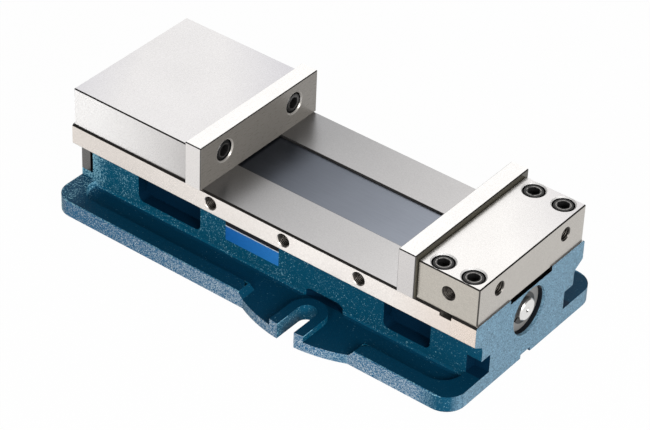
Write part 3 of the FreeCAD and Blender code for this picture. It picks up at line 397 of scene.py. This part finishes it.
def block_faces(finish):
    """The fixed jaw's counterbores and tapped holes, painted dark as shade, and its top dimmed at the far
    rear corner as painted shade; the counterbores' mouths are a painted highlight, as light as the top.
    """
    x, y, z = finish.axes()
    nz = finish.axes(finish.facing)[2]
    bolts = from_lines(finish, BOLT_LINES)
    mouth = bolts.below((COUNTERBORE_RADIUS + 1.3) * MM, CRISP)
    mouth = mouth * z.above((BLOCK_HEIGHT - 1.5) * MM, 2 * CRISP)
    bore = bolts.below((COUNTERBORE_RADIUS + JUST) * MM, CRISP / 2)
    taps = within(finish, SIDE_HOLE_LINES, TAP_RADIUS + JUST).either(
        within(finish, REAR_HOLE_LINES, TAP_RADIUS + JUST) * x.above(*REAR_TAPS_BEHIND))
    inside = x.above((BLOCK_FRONT + 0.1) * MM, CRISP) * abs(y).below((BLOCK_SIDE_FACE - 0.1) * MM, CRISP)
    dim = (x + y).above(*BLOCK_CORNER) * nz.above(*FACING)
    return ((dim, BLOCK_TOP_DIM, 0.0), (mouth, BLOCK_TOP, 0.6), (bore, RECESS_SHADE, 0.5),
            (taps * inside, BORE_SHADE, 0.3))


def turned_steel(name, colour, roughness=0.3, metal=1.0):
    """Steel with fine rings round the screw's line."""
    finish = Finish(name)
    rings = (from_lines(finish, SCREW_LINES) * 9000.0).math("SINE")
    marks = finish.noise(finish.place, 900.0, 2.0)
    tone = marks * 0.25 + rings * 0.03 + 0.87
    return finish.surface(base_color=finish.toned(colour, tone), metallic=metal,
                          roughness=marks * 0.12 + roughness,
                          normal=finish.bump(rings * 0.5 + marks, 0.12, 0.0001))


def casting_finish():
    """Hammered enamel on the casting, with pale flecks, and ground steel on its rails, both with light and
    shade painted into their colours.
    """
    finish = Finish("enamel_and_ground_rails")
    x, y, z = finish.axes()
    nx, ny, nz = finish.axes(finish.facing)
    marks, grit, clouds = grinding(finish, RAIL_GRAIN)
    out = abs(y)
    grains = finish.noise(finish.place, 1000.0, 2.0, 0.6)
    specks = finish.node("ShaderNodeTexVoronoi", {"feature": "F1"},
                         {"Vector": finish.place, "Scale": 1150.0}, 1)
    chance = finish.axes(specks.socket)[0]
    broad = finish.noise(finish.place, 45.0, 2.0)

    # Enamel with painted light and shade: deep in the gutter, lighter on the webs and dimmer towards the rear
    # end, pale where it faces outwards on the flange, a painted highlight along the rim's outer top edge,
    # painted shade in the pockets
    upright = abs(nz).below(0.6, 0.3)
    outer = abs(ny).above(0.90, 0.14) * out.above(*FLANGE_SIDE) * x.below(*FLANGE_SIDE_END)
    corner = nx.above(0.87, 0.30) * x.above(*CORNER_BEHIND) * out.above(*CORNER_BESIDE)
    rim_edge = z.above((RIM_HEIGHT - 0.8) * MM, 4 * CRISP) * z.below((RIM_HEIGHT + 0.3) * MM, 4 * CRISP)
    rim_edge = rim_edge * out.above((FLANGE_HALF - 1.5) * MM, 5 * CRISP)
    pocket = out.below((WEB_HALF - 0.5) * MM, 2 * CRISP)
    front_end = x.below(*FRONT_FLECKS) * (1.0 - pocket)
    fade = x.above(*WEB_FADE)
    web = upright * (1.0 - outer) * (1.0 - pocket)
    body = finish.blend(web, PAINT_DEEP, finish.blend(fade, PAINT_WEB, PAINT_WEB_DIM))
    body = finish.blend(outer.either(rim_edge).either(front_end * 0.3), body, PAINT_LIT)
    body = finish.blend(pocket * 0.9, body, PAINT_POCKET_SHADE)

    # Flecks: thick at the front end and on the rim's edge, fewer in the pockets, fine on the flange's side,
    # where they take a paler colour as painted light, paler towards the rear
    density = (web * (1.0 - fade * 0.5) * 0.19 + rim_edge * 0.36 + front_end * 0.27
               + (broad - 0.5) * 0.24 - pocket * 0.3 - 0.07)
    speckle = (chance * 0.50 + grains * 0.9 - 0.945 + density).above(0.12, 0.20)
    fine = finish.noise(finish.place, 950.0, 1.0)
    side_grain = (fine * 3.4 + chance * 0.9 + x.above(*FLANGE_PALER) * 0.36 - 2.12).above(0.5, 1.0)
    speckle = speckle * (1.0 - outer) + outer * side_grain
    paint = finish.blend(speckle * 0.9, body, finish.blend(outer, PAINT_FLECK, PAINT_FLECK_LIT))

    # Rear end: a painted sheen, paler than the enamel, which turns into the bushing's bore and round the
    # flange's corner
    bore = within(finish, SCREW_LINES, BUSHING_RADIUS + 0.3)
    painted_bore = x.above((BED_REAR - PAINTED_BORE) * MM, 2 * CRISP) * bore
    rear = x.above((BED_REAR - 0.2) * MM, CRISP).either(painted_bore).either(corner)
    paint = finish.blend(rear, paint, finish.toned(PAINT_END_SHEEN, grains * 1.5 + chance * 0.95 - 0.03))

    # Machined faces: the rails' band, the channel and the tunnel. On the rails, painted light: the top dims
    # towards the front, the sides are lit most along the middle, and chamfers near the top are painted dark
    # as a reflection; the sides also turn warmer towards the rear
    bushing_bore = x.above(*BORE_BEHIND) * x.below((BED_REAR - PAINTED_BORE) * MM, 2 * CRISP) * bore
    band = z.above((BED_TOP - BAND_HEIGHT + JUST) * MM, CRISP) * (1.0 - rear)
    inside = out.below((TUNNEL_HALF + 0.5) * MM, CRISP) * z.above(TUNNEL_STEEL * MM, CRISP)
    inside = inside * x.below((TUNNEL_REAR - 0.5) * MM, CRISP)
    channel = out.below((CHANNEL_HALF + 0.2) * MM, CRISP) * z.above(CHANNEL_DARK * MM, CRISP) * (1.0 - rear)
    machined = band.either(inside)
    side = abs(ny).above(*SQUARE_ON)
    side_lit = side * x.above(*RAIL_SIDE_RISE) * (1.0 - x.above(*RAIL_SIDE_FALL) * 0.7)
    top_tone = finish.blend(x.above(*RAIL_TOP_FADE), RAIL_TOP_DIM, RAIL_TOP)
    steel = finish.blend(nz.above(*FACING), finish.blend(side_lit, RAIL_SIDE, RAIL_SIDE_LIT), top_tone)
    steel = finish.blend(side * x.above(*RAIL_WARMTH) * 0.7, steel, RAIL_SIDE_WARM)
    edge = chamfers(finish) * z.above((BED_TOP - 6) * MM, 1 * MM)
    steel = finish.blend(edge * 0.9, steel, CHAMFER_REFLECTION_DARK)
    steel = finish.blend(inside * (1.0 - band), steel, STEEL_GREY)

    # Tapped holes in the rails, one in the middle and one a pitch away on each side of it, painted dark
    # inside as shade
    off_middle = abs(x - RAIL_HOLE_MIDDLE * MM)
    along = off_middle.math("MINIMUM", abs(off_middle - RAIL_HOLE_PITCH * MM))
    drop = z - RAIL_HOLE_HEIGHT * MM
    taps = ((along * along + drop * drop) ** 0.5).below((TAP_RADIUS + JUST) * MM, CRISP)
    taps = taps * out.below((BED_HALF - 0.25) * MM, 2 * CRISP) * out.above(*RAIL_TAPS_BESIDE)
    steel = finish.blend(taps, steel, BORE_SHADE)

    tone = marks * (1.0 - side) * 0.14 + grit * 0.34 + clouds * 0.10 + side * 0.07 + 0.71
    colour = finish.blend(machined, paint, finish.toned(steel, tone))
    # The channel and the bushing's bore are painted dark as shade
    colour = finish.blend(channel.either(bushing_bore) * 0.92, colour, RECESS_SHADE)
    hammered = (grains + chance * 0.3 + broad * 0.6) * (1.0 - machined) * 0.00022
    ground = marks * (1.0 - side) * machined * 0.00002
    return finish.surface(base_color=colour, metallic=machined * (1.0 - side_lit * 0.6), specular=0.08,
                          roughness=machined * (marks * (1.0 - side) * 0.14 - 0.16) + 0.40,
                          normal=finish.bump(hammered + ground, 1.0, 1.0))


def oxide(name, axis="Z", lines=None, highlight_tone=OXIDE_RING_HIGHLIGHT):
    """Black oxide; round a socket's mouth, a broken ring of painted highlight."""
    finish = Finish(name)
    marks = finish.noise(finish.place, 1500.0, 2.0)
    colour = OXIDE_BLACK
    if lines:
        along = dict(zip("XYZ", finish.axes(finish.facing)))[axis]
        gap = from_lines(finish, lines)
        ring = gap.above((SOCKET_RADIUS - 0.1) * MM, 3 * CRISP)
        ring = ring * gap.below((SOCKET_RADIUS + 0.7) * MM, 4 * CRISP)
        ring_highlight = ring * abs(along).above(0.8, 0.1) * finish.noise(finish.place, 420.0, 1.0).above(0.40, 0.22)
        colour = finish.blend(ring_highlight, OXIDE_BLACK, highlight_tone)
    return finish.surface(base_color=colour, metallic=0.2, roughness=marks * 0.2 + 0.26,
                          normal=finish.bump(marks, 0.1, 0.0001))


def cover_finish():
    """Rolled sheet, darker towards the movable jaw."""
    finish = Finish("rolled_sheet")
    x = finish.axes()[0]
    marks = finish.noise(finish.stretched(ROLLED_GRAIN), 1.0, 3.0)
    fade_wobble = finish.noise(finish.place, 22.0, 2.0)
    colour = finish.blend((x + fade_wobble * 30 * MM).above(*COVER_FADE), COVER_DARK, COVER_PALE)
    return finish.surface(base_color=finish.toned(colour, marks * 0.2 + 0.9), metallic=0.95,
                          roughness=marks * 0.1 + 0.26)


def threaded_steel(name, colour):
    """Turned steel, with painted shade in the roots of the thread."""
    finish = Finish(name)
    x = finish.axes()[0]
    stretch = x.above(THREAD_START * MM, 5 * CRISP) * x.below(THREAD_END * MM, 5 * CRISP)
    depth = from_lines(finish, SCREW_LINES).below((THREAD_RADIUS - THREAD_RIDGE) * MM, 2.0 * MM)
    marks = finish.noise(finish.place, 800.0, 2.0)
    shade = finish.blend(depth * stretch * 0.75, colour, THREAD_ROOT_SHADE)
    return finish.surface(base_color=finish.toned(shade, marks * 0.2 + 0.9), metallic=1.0, roughness=0.3,
                          normal=finish.bump(marks, 0.1, 0.0001))


# Materials of the CAD nodes
plain_steel = ground_steel("machined_steel", STEEL_GREY, STEEL_GREY, STEEL_GREY, EVEN_GRAIN)
collar_steel = turned_steel("turned_collar_steel", STEEL_GREY)
bright_steel = turned_steel("polished_race_steel", STEEL_BRIGHT, roughness=0.18)
FINISHES = {
    "vise_body": casting_finish(),
    "front_bearing_plate": ground_steel("dull_plate_steel", STEEL_GREY, STEEL_SHADED, STEEL_GREY,
                                        COARSE_GRAIN),
    "front_plate_screws": oxide("black_oxide_front"),
    "fixed_thrust_race": bright_steel,
    "moving_thrust_race": bright_steel,
    "thrust_cage": turned_steel("turned_cage_brass", CAGE_BRASS, roughness=0.28),
    "thrust_balls": bright_steel,
    "lead_screw": threaded_steel("threaded_screw_steel", STEEL_BRIGHT),
    "front_collar": collar_steel,
    "collar_set_screw": oxide("black_oxide_collar"),
    "rear_bushing": turned_steel("turned_bushing_iron", BUSHING_GREY, roughness=0.45, metal=0.2),
    "rear_retaining_ring": oxide("black_oxide_ring"),
    "fixed_jaw": ground_steel("ground_block_steel", BLOCK_TOP, BLOCK_SIDE, BLOCK_END, BLOCK_GRAIN,
                              block_faces),
    "fixed_jaw_bolts": oxide("black_oxide_bolts", "Z", BOLT_LINES),
    "fixed_jaw_keys": oxide("dull_key_steel"),
    # The fixed plate's sides take the dimmer tone than the movable plate's: painted shade
    "fixed_jaw_plate": ground_steel("ground_fixed_plate", PLATE_TOP, PLATE_SIDE_DIM, PLATE_BACK,
                                    PLATE_GRAIN, plate_faces(FIXED_GRIP, FIXED_BACK)),
    "fixed_plate_screws": oxide("black_oxide_fixed_plate", "X", PLATE_SCREW_LINES, OXIDE_RING_HIGHLIGHT_DIM),
    "movable_jaw": ground_steel("ground_jaw_steel", JAW_TOP, JAW_SIDE, JAW_SIDE, JAW_GRAIN, jaw_faces),
    "movable_jaw_plate": ground_steel("ground_movable_plate", PLATE_TOP, PLATE_SIDE, PLATE_BACK,
                                      PLATE_GRAIN, plate_faces(MOVABLE_GRIP, MOVABLE_BACK)),
    "movable_plate_screws": oxide("black_oxide_movable_plate", "X", PLATE_SCREW_LINES, OXIDE_RING_HIGHLIGHT_DIM),
    "jaw_nut": plain_steel,
    "half_ball": bright_steel,
    "jaw_set_screw": oxide("black_oxide_set_screw"),
    "chip_cover": cover_finish(),
    "chip_cover_screws": oxide("black_oxide_cover"),
}
for name, material in FINISHES.items():
    mesh = nodes[name].data
    mesh.materials.clear()
    mesh.materials.append(material)


# Geometry Nodes
class Maker:
    """One geometry tree with a coil's sizes as its named inputs, and more inputs where they are needed."""

    INPUTS = {"Radius": "NodeSocketFloat", "Pitch": "NodeSocketFloat", "Length": "NodeSocketFloat",
              "Ridge": "NodeSocketFloat", "Steel": "NodeSocketMaterial"}

    def __init__(self, name, **more):
        self.tree = bpy.data.node_groups.new(name, "GeometryNodeTree")
        face = self.tree.interface
        face.new_socket("Geometry", in_out="INPUT", socket_type="NodeSocketGeometry")
        self.keys = {label: face.new_socket(label, in_out="INPUT", socket_type=kind).identifier
                     for label, kind in {**self.INPUTS, **more}.items()}
        face.new_socket("Geometry", in_out="OUTPUT", socket_type="NodeSocketGeometry")
        self.start = self.tree.nodes.new("NodeGroupInput")
        self.end = self.tree.nodes.new("NodeGroupOutput")

    def given(self, label):
        return self.start.outputs[label]

    def node(self, kind, settings, sockets):
        """Add a node: its settings first, then the values or links of its sockets."""
        made = self.tree.nodes.new(kind)
        for key, value in settings.items():
            setattr(made, key, value)
        for key, value in sockets.items():
            if isinstance(value, bpy.types.NodeSocket):
                self.tree.links.new(value, made.inputs[key])
            else:
                made.inputs[key].default_value = value
        return made.outputs

    def coil(self, steps, sides, right_hand):
        """A ridge wound along Z, with so many steps in a turn and so many sides to its round profile."""
        turns = self.node("ShaderNodeMath", {"operation": "DIVIDE"},
                          {0: self.given("Length"), 1: self.given("Pitch")})
        helix = self.node("GeometryNodeCurveSpiral", {}, {
            "Resolution": steps, "Rotations": turns[0], "Start Radius": self.given("Radius"),
            "End Radius": self.given("Radius"), "Height": self.given("Length"), "Reverse": right_hand})
        profile = self.node("GeometryNodeCurvePrimitiveCircle", {"mode": "RADIUS"},
                            {"Resolution": sides, "Radius": self.given("Ridge")})
        return self.node("GeometryNodeCurveToMesh", {}, {"Curve": helix[0], "Profile Curve": profile[0],
                                                         "Fill Caps": True})[0]

    def finish(self, geometry):
        """End the tree with real geometry in one material."""
        real = self.node("GeometryNodeRealizeInstances", {}, {0: geometry})[0]
        done = self.node("GeometryNodeSetMaterial", {},
                         {"Geometry": real, "Material": self.given("Steel")})[0]
        self.tree.links.new(done, self.end.inputs[0])

    def apply(self, name, mesh, **values):
        """A plain mesh object made by the tree from a base mesh."""
        carrier = bpy.data.objects.new(name + "_base", mesh)
        scene.collection.objects.link(carrier)
        modifier = carrier.modifiers.new(self.tree.name, "NODES")
        modifier.node_group = self.tree
        for label, value in values.items():
            modifier[self.keys[label.capitalize()]] = value
        bpy.context.view_layer.update()
        evaluated = carrier.evaluated_get(bpy.context.evaluated_depsgraph_get())
        made = bpy.data.meshes.new_from_object(evaluated)
        carrier.modifiers.remove(modifier)
        bpy.data.objects.remove(carrier)
        piece = bpy.data.objects.new(name, made)
        scene.collection.objects.link(piece)
        return piece


def tap_maker():
    """Right-hand coils of thread, one at each point of the base mesh, along that point's own direction."""
    maker = Maker("tapped_thread")
    way = maker.node("GeometryNodeInputNamedAttribute", {"data_type": "FLOAT_VECTOR"}, {"Name": "way"})
    turn = maker.node("FunctionNodeAlignRotationToVector", {"axis": "Z"}, {"Vector": way[0]})
    coils = maker.node("GeometryNodeInstanceOnPoints", {}, {
        "Points": maker.given("Geometry"), "Instance": maker.coil(steps=26, sides=3, right_hand=True),
        "Rotation": turn[0]})
    maker.finish(coils[0])
    return maker


def screw_maker():
    """A left-hand ridge wound along X, joined to the core that the base mesh gives."""
    maker = Maker("screw_thread", Start="NodeSocketVector")
    placed = maker.node("GeometryNodeTransform", {}, {
        "Geometry": maker.coil(steps=32, sides=8, right_hand=False), "Translation": maker.given("Start"),
        "Rotation": (0.0, math.pi / 2, 0.0)})
    both = maker.tree.nodes.new("GeometryNodeJoinGeometry")
    for part in (maker.given("Geometry"), placed[0]):
        maker.tree.links.new(part, both.inputs[0])
    maker.finish(both.outputs[0])
    return maker


def directed_points(name, spots):
    """A mesh of loose points, each with its own direction; places in millimetres."""
    mesh = bpy.data.meshes.new(name)
    mesh.from_pydata([[part * MM for part in spot] for spot, _ in spots], [], [])
    ways = mesh.attributes.new("way", "FLOAT_VECTOR", "POINT")
    for index, (_, way) in enumerate(spots):
        ways.data[index].vector = way
    return mesh


def tap_foot(face, inset):
    """Where a tapped hole's thread starts, deep in the hole that is cut in a face."""
    return face - inset - TAP_LENGTH


# Threads of the tapped holes: each runs from its foot out to just short of the face
rail_foot = tap_foot(BED_HALF, RAIL_TAP_INSET)
side_foot = tap_foot(BLOCK_SIDE_FACE, JAW_TAP_INSET)
rear_foot = tap_foot(BLOCK_REAR, JAW_TAP_INSET)
rail_spots = [((RAIL_HOLE_MIDDLE + step * RAIL_HOLE_PITCH, side * rail_foot, RAIL_HOLE_HEIGHT),
               (0.0, float(side), 0.0)) for side in (-1, 1) for step in (-1, 0, 1)]
jaw_spots = [((BOLT_MIDDLE, side * side_foot, SIDE_HOLE_HEIGHT), (0.0, float(side), 0.0)) for side in (-1, 1)]
jaw_spots += [((rear_foot, side * JAW_HOLE_SPREAD, REAR_HOLE_HEIGHT), (1.0, 0.0, 0.0)) for side in (-1, 1)]
taps = tap_maker()
tap_steel = turned_steel("tapped_thread_steel", THREAD_STEEL, roughness=0.36)
for name, spots, node in (("rail_threads", rail_spots, "vise_body"),
                          ("fixed_jaw_threads", jaw_spots, "fixed_jaw")):
    coils = taps.apply(name, directed_points(name + "_points", spots), radius=TAP_RADIUS * MM,
                       pitch=TAP_PITCH * MM, length=TAP_LENGTH * MM, ridge=TAP_RIDGE * MM, steel=tap_steel)
    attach(coils, "bed")


def screw_core(solid):
    """A copy of the screw whose threaded length is turned down to the roots."""
    core = solid.data.copy()
    core.transform(solid.matrix_world)
    for vertex in core.vertices:
        out = Vector((0.0, vertex.co.y, vertex.co.z - SCREW_HEIGHT * MM))
        threaded = THREAD_START - 2 * JUST < vertex.co.x / MM < THREAD_END + 2 * JUST
        if threaded and abs(out.length / MM - THREAD_RADIUS) < JUST:
            vertex.co -= out * (2.0 * THREAD_RIDGE / THREAD_RADIUS)
    return core


# The ridge starts inside the flange and ends where the screw's own chamfer starts
screw = screw_maker().apply(
    "lead_screw_threaded", screw_core(nodes["lead_screw"]), radius=(THREAD_RADIUS - THREAD_RIDGE) * MM,
    pitch=THREAD_PITCH * MM, length=(THREAD_END - THREAD_START) * MM, ridge=THREAD_RIDGE * MM,
    start=((THREAD_START - THREAD_RIDGE) * MM, 0.0, SCREW_HEIGHT * MM), steel=FINISHES["lead_screw"])
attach(screw, "screw")
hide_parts("lead_screw")


# Label on the near web: bare bands of colour, with nothing written on them
def label():
    low = Vector((LABEL_FRONT, -WEB_HALF - LABEL_THICKNESS, LABEL_FOOT)) * MM
    high = Vector((LABEL_REAR, -WEB_HALF + LABEL_SUNK, LABEL_TOP)) * MM
    corners = [(x, y, z) for x in (low.x, high.x) for y in (low.y, high.y) for z in (low.z, high.z)]
    faces = [(0, 1, 3, 2), (4, 6, 7, 5), (0, 4, 5, 1), (2, 3, 7, 6), (0, 2, 6, 4), (1, 5, 7, 3)]
    mesh = bpy.data.meshes.new("web_label")
    mesh.from_pydata(corners, [], faces)
    piece = bpy.data.objects.new("web_label", mesh)
    scene.collection.objects.link(piece)
    finish = Finish("printed_label")
    x, _, z = finish.axes()
    scuff = finish.noise(finish.place, 700.0, 2.0)
    blue = finish.blend(x.above(*LABEL_FADE), LABEL_BLUE, LABEL_BLUE_LIT)
    colour = finish.blend(z.above(LABEL_LINE * MM, CRISP), blue, LABEL_PALE)
    colour = finish.blend(z.above(LABEL_BLACK * MM, CRISP), colour, LABEL_INK)
    mesh.materials.append(finish.surface(base_color=finish.toned(colour, scuff * 0.3 + 0.85),
                                         roughness=scuff * 0.1 + 0.30, coat_weight=0.3))
    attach(piece, "bed")


label()


# Floor: a plain square that looks white to the camera and pale in reflections
def pale_floor(half, drop):
    corners = [(-half, -half, 0.0), (half, -half, 0.0), (half, half, 0.0), (-half, half, 0.0)]
    mesh = bpy.data.meshes.new("floor")
    mesh.from_pydata(corners, [], [(0, 1, 2, 3)])
    piece = bpy.data.objects.new("floor", mesh)
    piece.location.z = -drop
    scene.collection.objects.link(piece)
    finish = Finish("pale_floor")
    seen = finish.node("ShaderNodeLightPath", {}, {}, "Is Camera Ray")
    mirrored = finish.node("ShaderNodeLightPath", {}, {}, "Is Glossy Ray")
    diffuse = finish.node("ShaderNodeBsdfDiffuse", {}, {"Color": (0.85, 0.85, 0.85, 1.0)})
    glow = finish.node("ShaderNodeEmission", {}, {"Color": (1.0, 1.0, 1.0, 1.0), "Strength": 1.0})
    mixed = finish.node("ShaderNodeMixShader", {}, {0: seen * 0.98 + mirrored * 0.85, 1: diffuse, 2: glow})
    finish.node("ShaderNodeOutputMaterial", {}, {"Surface": mixed})
    mesh.materials.append(finish.material)
    return piece


floor = pale_floor(half=6.0, drop=0.0002)


# World: white to the camera, and to everything else a studio with one wide white screen behind the jaws
def studio():
    world = bpy.data.worlds.new("studio")
    scene.world = world
    finish = Finish("studio", world)
    direction = finish.coordinates.outputs["Generated"]
    behind = tuple(Vector((-0.484, 0.647, 0.589)).normalized())
    in_front = tuple(Vector((0.60, -0.62, 0.45)).normalized())
    screen = finish.towards(behind, direction).above(0.78, 0.36)
    front_right = finish.towards(in_front, direction).above(0.78, 0.40)
    level = screen + front_right * 0.55 + 0.10
    room = finish.node("ShaderNodeBackground", {}, {"Color": finish.toned((1.0, 0.99, 0.98), level),
                                                    "Strength": 1.0})
    white = finish.node("ShaderNodeBackground", {}, {"Color": (1.0, 1.0, 1.0, 1.0)})
    camera_ray = finish.node("ShaderNodeLightPath", {}, {}, "Is Camera Ray")
    either = finish.node("ShaderNodeMixShader", {}, {0: camera_ray, 1: room, 2: white})
    finish.node("ShaderNodeOutputWorld", {}, {"Surface": either})


studio()


# Lamps
LAMP_TARGET = Vector((0.0, 0.0, 0.05))


def softbox(name, place, size, power):
    """A rectangular lamp that looks at the vise."""
    lamp = bpy.data.lights.new(name, "AREA")
    lamp.shape = "RECTANGLE"
    lamp.size, lamp.size_y = size
    lamp.energy = power
    holder = bpy.data.objects.new(name, lamp)
    holder.location = place
    holder.rotation_euler = (LAMP_TARGET - Vector(place)).to_track_quat("-Z", "Y").to_euler()
    scene.collection.objects.link(holder)


softbox("right_softbox", place=(1.8, -0.7, 0.9), size=(0.9, 0.8), power=26.0)
softbox("front_softbox", place=(0.5, -1.9, 0.8), size=(0.8, 0.7), power=14.5)


# Camera, as solved from the photograph's straight edges
AZIMUTH, ELEVATION, ROLL = (math.radians(a) for a in (36.803, 36.117, 2.376))
DISTANCE = 2.3288
AIM = Vector((0.0, 0.0, 0.0761))
PHOTO_WIDTH = 650
PIXELS_PER_MM = 1.16071
FOCAL_PIXELS = PIXELS_PER_MM * DISTANCE * 1000
SHIFT_RIGHT, SHIFT_UP = 2.57, -34.64
back = Vector((math.sin(AZIMUTH) * math.cos(ELEVATION), -math.cos(AZIMUTH) * math.cos(ELEVATION),
               math.sin(ELEVATION)))
right = Vector((math.cos(AZIMUTH), math.sin(AZIMUTH), 0.0))
up = back.cross(right)
turned_right = right * math.cos(ROLL) + up * math.sin(ROLL)
turned_up = up * math.cos(ROLL) - right * math.sin(ROLL)
camera_data = bpy.data.cameras.new("camera")
camera_data.sensor_width = 36.0
camera_data.lens = FOCAL_PIXELS / PHOTO_WIDTH * camera_data.sensor_width
camera_data.shift_x = SHIFT_RIGHT / PHOTO_WIDTH
camera_data.shift_y = SHIFT_UP / PHOTO_WIDTH
camera = bpy.data.objects.new("camera", camera_data)
scene.collection.objects.link(camera)
camera.matrix_world = Matrix.Translation(AIM + back * DISTANCE) @ Matrix(
    (turned_right, turned_up, back)).transposed().to_4x4()
scene.camera = camera
scene.view_settings.view_transform = "Standard"
